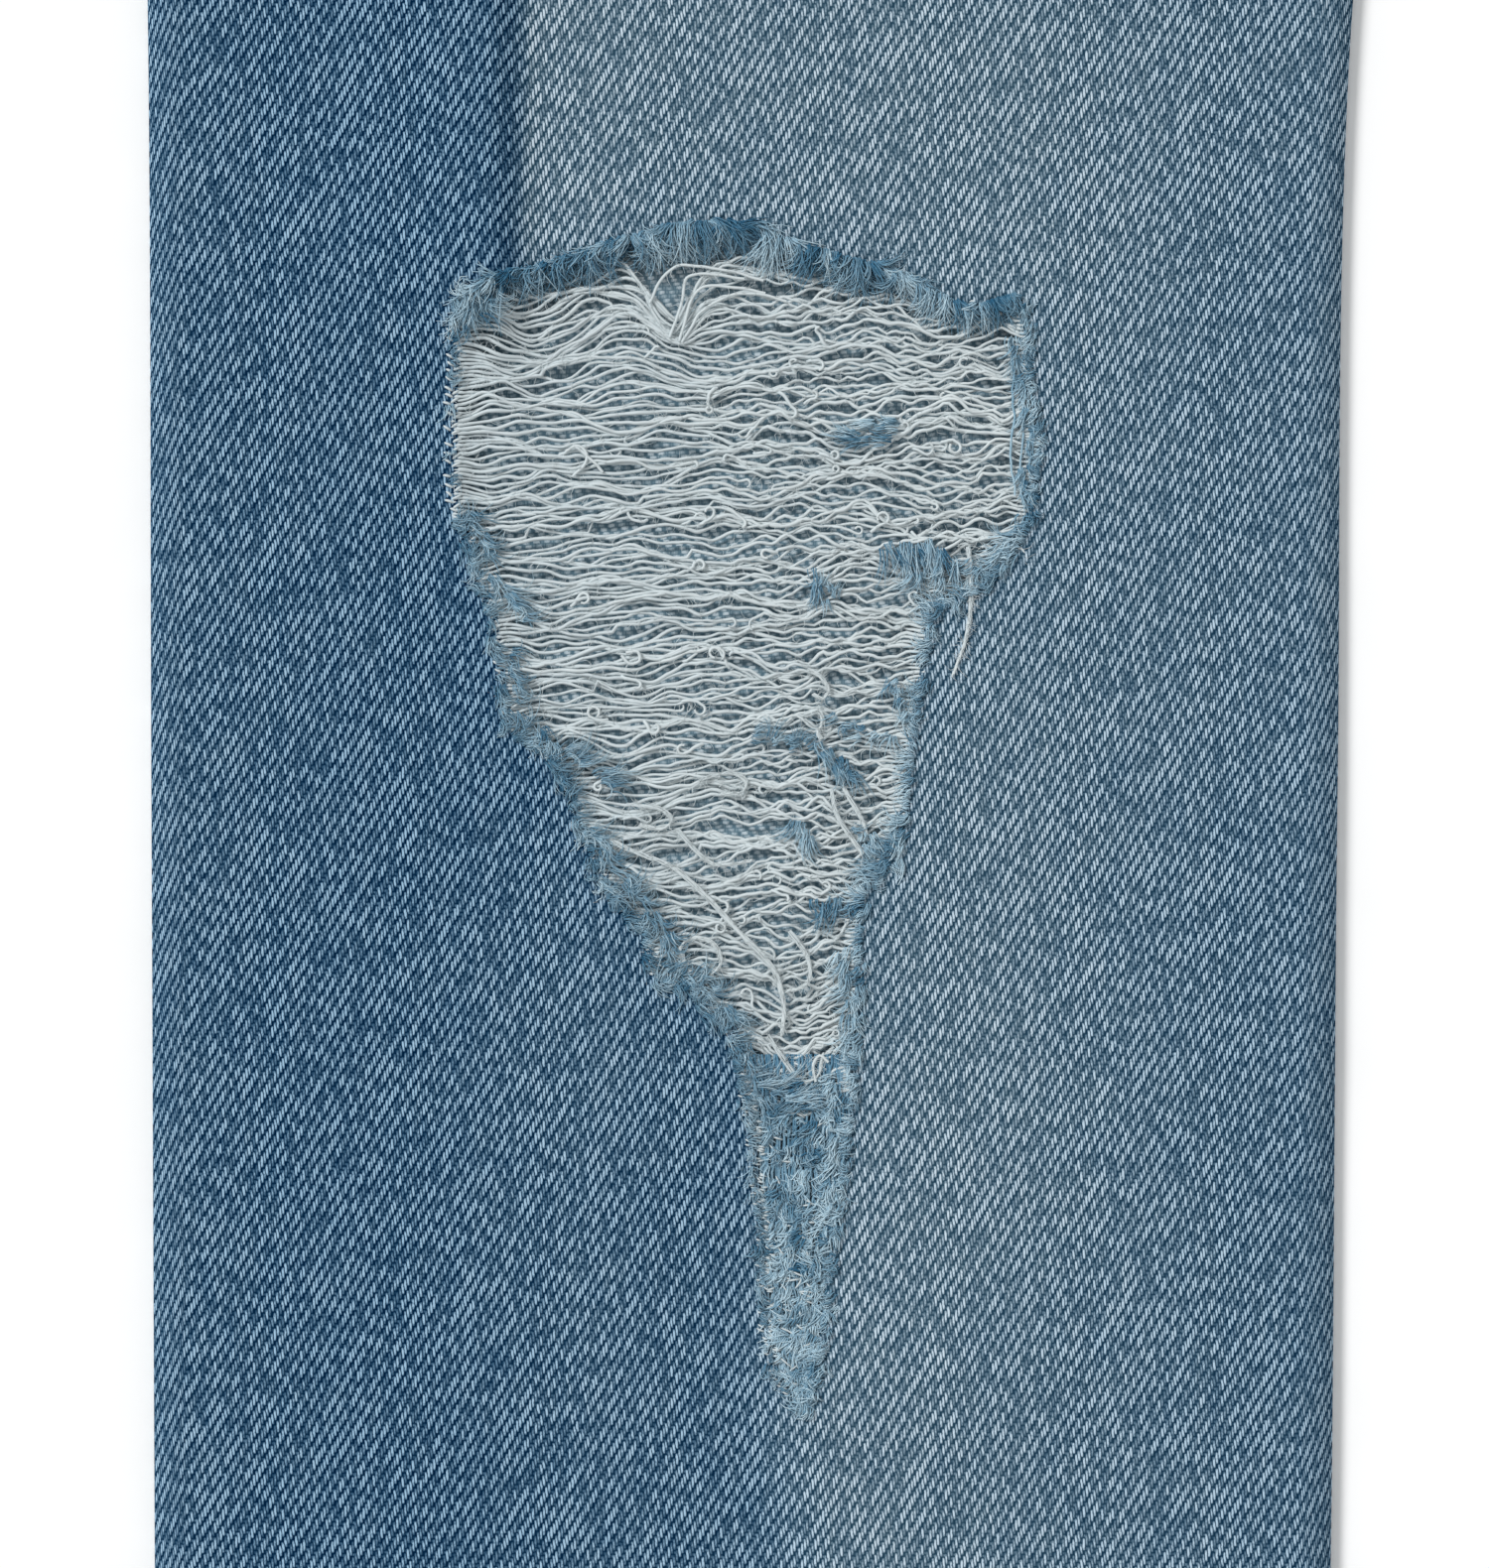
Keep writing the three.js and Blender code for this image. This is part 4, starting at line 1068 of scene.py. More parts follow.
def makeFringe():
    rng = random.Random(23)
    top, sides = [], []
    for x, y, nx, ny in edgeWalk(ripEdge, fringe["every"]):
        if ny < -0.55 and y > 60:  # the cut warp ends along the top edge
            wild = 1 - ease(-30, -4, x)
            size = mix(5.6, 6.2, ease(-32, -4, x)) * rng.uniform(0.8, 1.15) * (1 - 0.18 * ease(14, 36, x))
            heading = math.radians(mix(-80, -128, wild) + 75 * wave(x, y, 8.8, 3))
            heading += rng.gauss(0, 0.35 + 0.3 * wild)
            tone = 0.42 + 1.25 * wave(x, y, 3.3, 2.0) + 0.1 * wild
            # a dark layer of fibres, tone 0, laid low under each top lobe: painted shadow beneath the fringe
            top += lobe(rng, x, y - 0.3, heading, size * 0.8, 1.2, fringe["underCount"], 0.0,
                        puff=0.2, wild=0.2, lift=-0.35)
            bow = rng.gauss(0, 0.9 + 0.5 * wild)
            top += lobe(rng, x, y + 0.7, heading, size * 0.95, 1.25, fringe["topCount"], tone, bow, puff=1.4,
                        wild=0.5 + 0.3 * wild, thick=fringe["topThick"], lift=0.1, steps=5)
            continue
        step = abs(ny) > 0.35
        if y < -43:
            chance, size, count = 0.8, rng.uniform(1.6, 3.4), 9
        elif 34 < y < 66 and not step:
            chance, size, count = (0.3 if nx > 0 else 1), rng.uniform(2.0, 3.4), 11
        else:
            chance, size = (1, 1.1) if step else (0.8, 0.85)
            size *= rng.uniform(2.6, 4.8)
            count = fringe["sideCount"]
        if rng.random() < chance:
            inward = math.atan2(ny, nx)
            heading = inward + rng.gauss(0, 0.8) - (0.5 if nx > 0 else -0.5)
            tone = 0.48 + 0.9 * wave(x, y, 5.1, 2.6) + (0.2 if nx < -0.5 else 0)
            bow = rng.gauss(0, 1.3)
            sides += lobe(rng, x - nx * 1.1, y - ny * 1.1, heading, size, 1.8, count, tone, bow, wild=0.55,
                          lift=0.1)
    return top, sides


# tufts of warp left in the field, listed round the knee point:
# from, to, heading, size, lobes, tone, wildness
tufts = [
    ((-40, 68), (-33, 72.5), -115, 5.2, 13, 0.45, 0.6), ((-40, 66), (-36, 70), -70, 4.2, 7, 0.25, 0.8),
    ((15, 49.4), (25, 50.6), 175, 4.2, 9, 0.5, 0.25), ((17, 51.2), (24, 52), 185, 3.6, 5, 0.75, 0.3),
    ((9, 31.4), (12, 25), -80, 3.6, 8, 0.55, 0.5), ((11.5, 30), (13.5, 26), 100, 2.6, 4, 0.8, 0.6),
    ((18, 33), (27, 34.5), -80, 6.5, 13, 0.75, 0.28), ((20, 34), (31, 33), -75, 5.0, 11, 0.3, 0.35),
    ((24, 30), (33, 31.5), -110, 4.6, 9, 0.6, 0.55), ((33, 30), (39, 36), -130, 4.6, 8, 0.65, 0.5),
    ((1.5, 6.5), (10, 5), 30, 3.4, 13, 0.6, 0.6), ((10.5, 6), (15.5, 1), -60, 4.2, 13, 0.35, 0.6),
    ((14, 8.5), (21, 6.5), 200, 3.4, 8, 0.6, 0.7), ((21, 15), (24, 9), -100, 3.6, 8, 0.6, 0.7),
    ((7.4, -5), (10.4, -9), -95, 4.2, 8, 0.75, 0.35), ((16, -6), (21, -12), -60, 4.2, 11, 0.7, 0.7),
    ((21.8, -5), (22.2, -11), -100, 4.6, 7, 0.95, 0.5),
    ((10, -17), (17.5, -17.5), -110, 4.2, 12, 0.35, 0.6),
    ((14.6, -24), (15.8, -42), -95, 4.4, 20, 0.75, 0.5), ((-26, 5), (-18, -1), 10, 4.6, 13, 0.72, 0.5),
    ((-33, 10), (-27, 6), -60, 4.4, 10, 0.5, 0.9), ((-22, -6), (-15.5, -16), -40, 5.0, 20, 0.6, 0.8),
    ((-13.4, -18), (-10, -24), -75, 4.6, 11, 0.55, 0.8), ((-12.5, -26), (-6, -28), 10, 4.4, 11, 0.5, 0.8),
    ((-5.4, -29.5), (-0.6, -34), -40, 4.2, 11, 0.6, 0.8), ((-1, -36), (2.4, -42), -60, 4.2, 9, 0.5, 0.7),
    ((-39.5, 39), (-36, 33), -50, 4.2, 11, 0.55, 0.8), ((-37, 29.5), (-31, 24), -30, 5.0, 13, 0.7, 0.6),
    ((-34, 20), (-32, 12), -60, 3.8, 10, 0.5, 0.8), ((1, -42), (9, -46), 8, 5.4, 15, 0.9, 0.35),
    ((3, -48), (10, -44), 20, 4.2, 9, 0.35, 0.5), ((13, -50), (12.4, -66), -100, 4.6, 16, 0.9, 0.5),
    ((38.6, 64), (41.6, 50), -95, 3.4, 20, 0.62, 0.4), ((41.4, 52), (40, 38), -85, 3.2, 15, 0.5, 0.45),
    ((2, -44), (6, -60), -60, 3.6, 12, 0.55, 0.7), ((5, -66), (7.6, -82), -100, 3.4, 12, 0.9, 0.6),
]


def makeTufts():
    rng = random.Random(37)
    lines = []
    for (ax, ay), (bx, by), heading, size, count, tone, wild in tufts:
        for _ in range(count):
            t = rng.random()
            lines += lobe(rng, mix(ax, bx, t) + rng.gauss(0, 0.5), mix(ay, by, t) + rng.gauss(0, 0.5),
                          math.radians(heading) + rng.gauss(0, wild * 0.6), size * rng.uniform(0.7, 1.15),
                          1.3, 9, tone + rng.gauss(0, 0.2), rng.gauss(0, wild * 1.7), wild=wild * 0.7,
                          thick=fringe["tuftThick"])
    return lines


# the rip's foot: warps that still stand, the first one's x and how far apart they are, and felted fibre
foot = {"warps": 44, "first": 0.4, "apart": 0.345, "warpRadius": 0.2, "felt": 270, "feltThick": 0.12}


# standing warps beside and below the rip, where only the weft has gone, and the felt over its foot
def makeStanding():
    rng = random.Random(83)
    lines, haze = [], []

    def warp(x, top, low, depth, tone, radius):
        seed = rng.uniform(0, 99)
        points, radii = [], []
        for y in spaced(top, low, 1.2):
            px = x + 0.5 * wave(y, seed, 1.1, 4) + 0.3 * wave(y, seed, 1.9, 1.4)
            points.append(ripPoint(px, y, ripTop(px, y) + depth + 0.14 * wave(y, seed, 7, 1.6)))
            radii.append(radius * (1 + 0.3 * wave(y, seed, 4, 2)))
        lines.append((points, radii, tone))

    for x in (38.4, 39.7, 40.9):
        warp(x, 64 + rng.uniform(-2, 1), 38 + rng.uniform(-1, 4), -0.1, rng.uniform(0.5, 0.7), 0.17)
    for k in range(foot["warps"]):
        x = foot["first"] + k * foot["apart"]
        ys = [y * 0.5 for y in range(-180, -78) if insideOf(ripEdge, x, y * 0.5)]
        if ys:
            depth = -0.45 + rng.uniform(-0.1, 0.2)
            warp(x, max(ys) + 0.8, min(ys) - 0.8, depth, rng.uniform(0.25, 0.6), foot["warpRadius"])
    for _ in range(foot["felt"]):
        y = rng.uniform(-89, -42)
        span = spanAt(y)
        if not span:
            continue
        x = mix(span[0] + 0.6, span[1] + 0.6, rng.random())
        pale = 0.14 + 0.35 * bell(x, span[1], 2.5) * bell(y, -57, 9) + 0.2 * bell(y, -78, 8)
        tone = 0.42 + 1.1 * wave(x, y, 6, 2.2) + pale
        heading = rng.choice((-1.57, -1.9, 1.57, 0.5, -2.6)) + rng.gauss(0, 0.5)
        haze += lobe(rng, x, y, heading, rng.uniform(1.8, 4.6), 1.6, 8, tone, rng.gauss(0, 1.3), puff=0.5,
                     wild=0.6, thick=foot["feltThick"])
    return lines, haze


threadLines, fluffLines = makeThreads()
looseLines = makeLoose()
hairRng = random.Random(97)
for points, _, _ in looseLines:
    fluffLines += hairs(hairRng, points, threads["looseHalo"])
topFringe, sideFringe = makeFringe()
standing, haze = makeStanding()
weftThreads = makeStrands("ripWeftThreads", threadLines, 4, weftYarn)
weftLoose = makeStrands("ripLooseThreads", looseLines, 6, weftYarn)
weftCrossings = makeStrands("ripWeftCrossings", makeCrossings(), 4, weftYarn)
weftFluff = makeStrands("ripWeftFluff", fluffLines, 3, weftYarn)
fringeTop = makeStrands("ripFringeTop", topFringe, 3, warpYarn)
fringeSides = makeStrands("ripFringeSides", sideFringe, 3, warpYarn)
fringeTufts = makeStrands("ripFringeTufts", makeTufts(), 3, warpYarn)
standingWarps = makeStrands("ripStandingWarps", standing, 4, warpYarn)
fringeHaze = makeStrands("ripFringeHaze", haze, 3, warpYarn)
finishPiece(weftThreads, "white_weft", "rip_threads")
for piece in (weftLoose, weftCrossings, weftFluff):
    finishPiece(piece, "white_weft")
finishPiece(fringeTop, "frayed_warp", "rip_fringe")
for piece in (fringeSides, fringeTufts, standingWarps, fringeHaze):
    finishPiece(piece, "frayed_warp")
print("rip ready")


def makeYoke(side):
    name = sideNames[side]

    def place(column, row):
        across = mix(cut["gap"] / 2, outerAt(mix(cut["bandDepth"], cut["yokeSide"], row)), column)
        line = mix(cut["yokeCentre"], cut["yokeSide"], clamp(across / outerAt(cut["yokeSide"])))
        down = mix(cut["bandDepth"] + cut["gap"], line, row)
        puff = 0.2 * math.sin(math.pi * row) * math.sin(math.pi * column)
        fadeAndShade = 0.3 + 0.3 * (row > 0.95) + 0.12 * wave(across, down, 4, 20)
        return (side * across, yAt(down), seatLift(down) - puff), 0, fadeAndShade

    piece = makeCloth("yoke" + name.capitalize(), spaced(0, 1, 0.025), spaced(0, 1, 0.05), place,
                      cut["cloth"], facing="down")
    finishPiece(piece, "denim", "yoke_" + name)


backPocket = {"across": 112, "down": 118, "top": 68, "foot": 60, "side": 118, "tip": 145}


def pocketOutline(side, inset=0.0):
    b = backPocket
    corners = [(b["across"] - b["top"] + inset, b["down"] + inset),
               (b["across"] + b["top"] - inset, b["down"] - 4 + inset),
               (b["across"] + b["foot"] - inset, b["down"] + b["side"] - inset * 0.4),
               (b["across"], b["down"] + b["tip"] - inset * 1.15),
               (b["across"] - b["foot"] + inset, b["down"] + b["side"] - inset * 0.4)]
    return [(side * a, yAt(d)) for a, d in corners]


def makeBackPocket(side):
    name = sideNames[side]
    outline = pocketOutline(side)

    def place(column, row):
        x, y = side * column, yAt(row)
        edge = nearestOn(outline, x, y)[0]
        fadeAndShade = 0.35 + 0.45 * bell(edge, 0, 3) + 0.25 * bell(edge, 14, 20)
        return (x, y, 0.32 + 0.25 * bell(edge, 0, 1.5) - 0.1 * bell(edge, 4, 2.5)), 0, fadeAndShade

    b = backPocket
    columns = spaced(b["across"] - b["top"] - 3, b["across"] + b["top"] + 3, 2.4)
    rows = spaced(b["down"] - 7, b["down"] + b["tip"] + 3, 2.4)
    piece = makeCloth("backPocket" + name.capitalize(), columns, rows, place, 0.85, [(outline, True, 1.3)],
                      facing="down")
    finishPiece(piece, "denim", "back_pocket_" + name)


# a piece that lies under the front, or in its scoop, with the front's own shape
def lowerFront(name, side, lower, outlines, node, fadeOf, start=38.8):
    columns = [("middle", t) for t in spaced(0.42, 1, 0.012)]
    columns += [("outer", r) for r in reversed(roundings[:-1])]

    def place(column, down):
        kind, value = column
        low, high = innerAt(down, side), outerAt(down)
        across = high - value if kind == "outer" else mix(low + 5, high - 5, value)
        point, slip, fadeAndShade = frontPlace(side, across, down, lower)
        return point, slip, fadeOf(point, fadeAndShade)

    cuts = [(outline, True, 1.2) for outline in outlines]
    piece = makeCloth(name, columns, spaced(start, 132, 2.2), place, cut["cloth"], cuts)
    finishPiece(piece, "denim", node)


coin = {"inner": 134, "outer": 194, "down": 70}
coinOutline = [(-coin["inner"], yAt(coin["down"])), (-coin["outer"], yAt(coin["down"] - 6)),
               (-coin["outer"], yAt(150)), (-coin["inner"], yAt(150))]


def coinFade(point, _):
    return 0.3 + 0.55 * bell(nearestOn(coinOutline, point[0], point[1])[0], 0, 2.6)


def facingFade(_, fadeAndShade):
    return 0.1 + 0.2 * fadeAndShade


# the half-round turn at a folded edge, from below upwards: x, z, and the way it faces
def turnOver(x, middle, radius, way):
    turn = []
    for angle in range(-90, 91, 15):
        across, up = way * math.cos(math.radians(angle)), math.sin(math.radians(angle))
        turn.append((x + radius * across, middle + radius * up, across, up))
    return turn


# the waistband: a flattened ring from its under end, round the back, to its over end
def bandPath():
    low = cut["pocketLift"] + cut["bandCloth"] / 2
    high = seamLevel(0) + cut["seatRise"] - cut["bandCloth"] / 2
    over = high + cut["bandCloth"] + cut["gap"]
    middle, radius = (low + high) / 2, (high - low) / 2
    middleAt = cut["waistHalf"] - radius - cut["bandCloth"] / 2
    path = [(x, high, 0, 1) for x in spaced(14, -middleAt + 3, 3)]
    path += turnOver(-middleAt, middle, radius, -1)[::-1]
    path += [(x, low, 0, -1) for x in spaced(-middleAt + 4, middleAt - 4, 6)]
    path += turnOver(middleAt, middle, radius, 1)
    for x in spaced(middleAt - 3, -16, 3):
        path.append((x, mix(high, over, ease(60, 26, x)), 0, 1))
    return path, middle, radius


# adds to each point how far along the strip it lies
def withLengths(path):
    total = 0
    result = []
    for i, point in enumerate(path):
        if i:
            total += math.hypot(point[0] - path[i - 1][0], point[1] - path[i - 1][1])
        result.append((*point, total))
    return result


bandStations, bandMiddle, bandRadius = bandPath()
bandStations = withLengths(bandStations)


# a point of the band's outer face: station along it, row 0 at the top edge to 1, proud of the cloth by out
def bandPoint(station, row, out=0.0):
    x, z, nx, nz, length = station
    half = cut["bandCloth"] / 2
    edge = min(row, 1 - row) * cut["bandDepth"]
    rope = 0.14 * wave(length, row * 30, 6.6, 7)
    reach = half - 0.5 * bell(edge, 0, 1.3) - 0.12 * bell(edge, 3, 1.1) + rope * nz + out
    x2 = x + nx * reach
    z2 = z + nz * reach
    spread = mix(1, outerAt(cut["bandDepth"]) / cut["waistHalf"], clamp(abs(x2) / cut["waistHalf"]) * row)
    front = clamp((z - bandMiddle) / bandRadius)
    y = yAt(row * cut["bandDepth"] + dipAt(min(190, abs(x))) * front)
    return (x2 * spread, y, z2)


def makeWaistband():
    def place(station, row):
        edge = min(row, 1 - row) * cut["bandDepth"]
        fadeAndShade = 0.22 + 0.55 * bell(edge, 0, 1.8) + 0.12 * wave(station[4], row * 20, 2.4, 14)
        return bandPoint(station, row), station[4], fadeAndShade

    rows = [0, 0.02, 0.045, 0.08, 0.12, 0.2, 0.3, 0.4, 0.5, 0.6, 0.7, 0.8, 0.88, 0.92, 0.955, 0.98, 1]
    piece = makeCloth("waistbandCloth", bandStations, rows, place, cut["bandCloth"], ownGrain=True)
    finishPiece(piece, "denim", "waistband")


def hemPath(side, down):
    inner, outer = innerAt(down, side), outerAt(down)
    low, high = cut["hemCloth"] / 2, seamLevel(1006) + cut["legRise"] - cut["hemCloth"] / 2
    middle, radius = (low + high) / 2, (high - low) / 2
    centre = side * (inner + outer) / 2
    half = (outer - inner) / 2 - cut["hemCloth"] / 2 + cut["gap"]
    flat = half - radius
    path = [(x, low, 0, -1) for x in spaced(-flat + 3, flat - 3, 3)]
    path += turnOver(flat, middle, radius, 1)
    path += [(x, high, 0, 1) for x in spaced(flat - 3, -flat + 3, 3)]
    path += turnOver(-flat, middle, radius, -1)[::-1]
    path.append(path[0])
    return [(x + centre, z, nx, nz) for x, z, nx, nz in path]


def hemPoint(station, row, out=0.0):
    x, z, nx, nz, length = station
    half = cut["hemCloth"] / 2
    edge = min(row, 1 - row) * cut["hemDepth"]
    twist = 0.22 * math.sin(2 * math.pi * (length / 7.5 + row * 0.7)) * math.sin(math.pi * row)
    reach = half - 0.6 * bell(edge, 0, 1.2) + twist + out
    z2 = max(0.25 + out, z + nz * reach) if nz < 0 else z + nz * reach
    return (x + nx * reach, yAt(cut["length"] - cut["hemDepth"] * (1 - row)), z2)


def makeHem(side):
    name = sideNames[side]
    stations = withLengths(hemPath(side, 1000))

    def place(station, row):
        edge = min(row, 1 - row) * cut["hemDepth"]
        rope = max(0, math.sin(2 * math.pi * (station[4] / 7.5 + row * 0.7)))
        worn = 0.25 + 0.38 * rope * math.sin(math.pi * row) + 0.5 * bell(edge, 0, 1.6)
        return hemPoint(station, row), station[4], worn + 0.1 * wave(station[4], row * 9, 3, 8)

    rows = [0, 0.05, 0.12, 0.22, 0.36, 0.5, 0.64, 0.78, 0.88, 0.95, 1]
    piece = makeCloth("hem" + name.capitalize(), stations, rows, place, cut["hemCloth"], wrap=stations[-1][4])
    finishPiece(piece, "denim", "hem_" + name)
    return stations


loop = {"width": 12, "reach": 8, "front": 96, "backSide": 150}


def frontLoopPoint(side, t, row, out=0.0):
    x = loop["front"] + t * loop["width"] / 2
    down = row * (cut["bandDepth"] + loop["reach"])
    arch = 1.5 * math.sin(math.pi * clamp(row * 1.1)) ** 0.8 if row < 0.9 else 0
    top = seamLevel(0) + cut["seatRise"] + cut["gap"] + cut["cloth"] + arch
    top -= 0.35 * abs(t) ** 6 + 0.5 * bell(row, 0, 0.02) + 0.5 * bell(row, 1, 0.02)
    return (side * x, yAt(down + dipAt(x)), top + out)


def backLoopPoint(x, t, row, out=0.0):
    down = row * (cut["bandDepth"] + loop["reach"])
    return (x + t * loop["width"] / 2, yAt(down), 0.3 + 0.3 * abs(t) ** 6 - out)


def makeLoop(name, node, pointAt, facing):
    def place(column, row):
        fadeAndShade = 0.3 + 0.5 * abs(column) ** 5 + 0.3 * bell(row, 0, 0.06) + 0.3 * bell(row, 1, 0.06)
        return pointAt(column, row), 0, fadeAndShade

    thickness = 0.9 if facing == "down" else cut["cloth"]
    piece = makeCloth(name, spaced(-1, 1, 0.125), spaced(0, 1, 0.035), place, thickness, facing=facing)
    finishPiece(piece, "denim", node)


for side in sideNames:
    makeYoke(side)
for side in sideNames:
    makeBackPocket(side)
for side, name in sideNames.items():
    lowerFront("pocketFacing" + name.capitalize(), side, 1.5, [scoopOutline(side, 0.3)],
               "pocket_facing_" + name, facingFade)
lowerFront("coinPocket", -1, 0, [coinOutline, scoopOutline(-1, 0.6)], "coin_pocket", coinFade, 58)
makeWaistband()
hemStations = {side: makeHem(side) for side in sideNames}
for side, name in sideNames.items():
    makeLoop("beltLoopFront" + name.capitalize(), "belt_loop_front_" + name,
             lambda t, row: frontLoopPoint(side, t, row), "up")
    makeLoop("beltLoopBack" + name.capitalize(), "belt_loop_back_" + name,
             lambda t, row: backLoopPoint(side * loop["backSide"], t, row), "down")
makeLoop("beltLoopBackCentre", "belt_loop_back_centre", lambda t, row: backLoopPoint(0, t, row), "down")
print("band, pockets and hems ready")


# topstitching, eight to the inch, and the close-set bars
stitch = {"pitch": 3.3, "length": 2.5, "radius": 0.3, "proud": 0.16, "barPitch": 0.42, "barHalf": 0.95}


# the height of the front's outer face over a point in the plane
def frontAt(x, y):
    level = down = cut["length"] / 2 - y
    for _ in range(5):
        down = level - dipAt(min(190, abs(x))) * (1 - ease(35, 170, down))
    return frontHeight(-1 if x < 0 else 1, abs(x), down)


def runStitches(points, up=1):
    lines = []
    lengths = [0]
    for a, b in zip(points, points[1:]):
        lengths.append(lengths[-1] + (Vector(b) - Vector(a)).length)

    def at(far):
        i = 1
        while i < len(points) - 1 and lengths[i] < far:
            i += 1
        t = (far - lengths[i - 1]) / max(1e-6, lengths[i] - lengths[i - 1])
        return Vector(points[i - 1]).lerp(Vector(points[i]), clamp(t))

    far = 0.6
    while far + stitch["length"] < lengths[-1]:
        ends = [at(far + stitch["length"] * t) for t in (0, 0.3, 0.7, 1)]
        lifts = (-0.25, stitch["proud"], stitch["proud"], -0.25)
        spots = [(p.x, p.y, p.z + up * lift) for p, lift in zip(ends, lifts)]
        radii = [stitch["radius"] * r for r in (0.5, 1, 1, 0.5)]
        lines.append((spots, radii, 0.5 + 0.4 * wave(far, points[0][0] + points[0][1], 2.0, 11)))
        far += stitch["pitch"]
    return lines


def onFront(flat):
    return [(x, y, frontAt(x, y)) for x, y in flat]


# a line beside the pocket's scoop, further from its edge by extra
def besideScoop(side, extra):
    line = []
    for angle in spaced(12, 88, 3):
        across, up = math.cos(math.radians(angle)), math.sin(math.radians(angle))
        line.append((side * (scoop["x"] - (scoop["across"] + extra) * across),
                     yAt(scoop["down"] + (scoop["deep"] + extra) * up)))
    return line


# the back loops' places, the centre one with the right side's
def backLoops(side):
    return (side * loop["backSide"], 0) if side < 0 else (side * loop["backSide"],)


def makeStitches():
    lines = []
    for side in sideNames:
        for extra in (2.2, 7.2):
            flat = [p for p in besideScoop(side, extra) if abs(p[0]) < outerAt(cut["length"] / 2 - p[1]) - 3]
            lines += runStitches(onFront(flat))
        rim = [(side * (outerAt(d) - 6), yAt(d)) for d in spaced(130, 212, 6)]
        lines += runStitches(onFront(rim))
    for inset in (0, 5.5):  # the fly's J on the overlapping side
        flat = [(37 - inset, yAt(d)) for d in spaced(64, 150, 6)]
        for angle in spaced(6, 90, 6):
            across, up = math.cos(math.radians(angle)), math.sin(math.radians(angle))
            flat.append((2 + (35 - inset) * across, yAt(150 + (42 - inset) * up)))
        lines += runStitches(onFront(flat))
    lines += runStitches(onFront([(3.2, yAt(d)) for d in spaced(194, 247, 5)]))
    for extra in (2, 6):
        top = []
        for t in spaced(0, 1, 0.1):
            down = mix(coin["down"], coin["down"] - 6, t) + extra
            top.append((mix(-coin["inner"] - 1, -coin["outer"] + 1, t), yAt(down)))
        lines += runStitches(onFront(top))
    for x in (-coin["inner"] - 2, -coin["outer"] + 2):
        low = 110 if x > -160 else 113
        lines += runStitches(onFront([(x, yAt(d)) for d in spaced(coin["down"] - 2, low, 5)]))
    onTop = [station for station in bandStations if station[3] > 0.9]
    beneath = [station for station in bandStations if station[3] < -0.9]
    for row in (0.075, 0.925):  # along both edges of the band
        lines += runStitches([bandPoint(station, row, 0.02) for station in onTop if station[0] > -14])
        underEnd = [station for station in onTop if station[4] < 200 and station[0] < -18]
        lines += runStitches([bandPoint(station, row, 0.02) for station in underEnd])
        lines += runStitches([bandPoint(station, row, 0.02) for station in beneath], up=-1)
    ends = [station for station in bandStations if station[4] > bandStations[-1][4] - 4][0]
    lines += runStitches([bandPoint(ends, row, 0.02) for row in spaced(0.1, 0.9, 0.1)])
    for side in sideNames:
        onTop = [station for station in hemStations[side] if station[3] > 0.9]
        lines += runStitches([hemPoint(station, 0.25, 0.02) for station in onTop])
        for inset in (2.2, 7.5):
            corners = pocketOutline(side, inset)
            lines += runStitches([(x, y, 0.42) for x, y in corners[1:] + corners[:1]], up=-1)
        for inset in (4, 15):
            (ax, ay), (bx, by) = pocketOutline(side, 2)[:2]
            lines += runStitches([(ax, ay - inset + 2, 0.42), (bx, by - inset + 2, 0.42)], up=-1)
        for extra in (-2.2, -7.2):  # the yoke seam, on the yoke
            seam = []
            for across in spaced(3, 203, 10):
                down = mix(cut["yokeCentre"], cut["yokeSide"], clamp(across / outerAt(cut["yokeSide"])))
                seam.append((side * across, yAt(down + extra), 1.5))
            lines += runStitches(seam, up=-1)
        lines += runStitches([(side * 2.6, yAt(d), seatLift(d) - 0.02) for d in spaced(42, 244, 8)], up=-1)
        rows = spaced(0.04, 0.96, 0.06)
        for t in (-0.68, 0.68):
            lines += runStitches([frontLoopPoint(side, t, row, 0.02) for row in rows])
        for centre in backLoops(side):
            for t in (-0.68, 0.68):
                lines += runStitches([backLoopPoint(centre, t, row) for row in rows], up=-1)
    return lines


# close-set bars where the strain falls: loop ends, fly foot, pocket corners
def makeBars():
    rng = random.Random(5)
    lines = []

    def bar(ax, ay, bx, by, z, up=1):
        run = math.hypot(bx - ax, by - ay)
        nx, ny = -(by - ay) / run, (bx - ax) / run
        for k in range(round(run / stitch["barPitch"])):
            t = (k + 0.5) * stitch["barPitch"] / run
            x, y = mix(ax, bx, t), mix(ay, by, t)
            half = stitch["barHalf"] + rng.uniform(-0.12, 0.12)
            spots = [(x - nx * half, y - ny * half, z - up * 0.2), (x, y, z + up * 0.22),
                     (x + nx * half, y + ny * half, z - up * 0.2)]
            lines.append((spots, [0.16, 0.24, 0.16], 0.5))

    for side in sideNames:
        for row in (0.05, 0.955):
            x, y, z = frontLoopPoint(side, 0, row)
            bar(x - 5.2, y, x + 5.2, y, z + 0.1)
        for centre in backLoops(side):
            for row in (0.05, 0.955):
                x, y, z = backLoopPoint(centre, 0, row)
                bar(x - 5.2, y, x + 5.2, y, z, -1)
    for ax, ad, bx, bd in ((3.5, 192, 10, 187), (34, 140, 40, 147)):
        bar(ax, yAt(ad), bx, yAt(bd), frontAt((ax + bx) / 2, yAt((ad + bd) / 2)) + 0.05)
    return lines


finishPiece(makeStrands("topstitching", makeStitches(), 4, seamThread), "denim")
finishPiece(makeStrands("barTacks", makeBars(), 4, seamThread), "denim")
print("stitching ready")


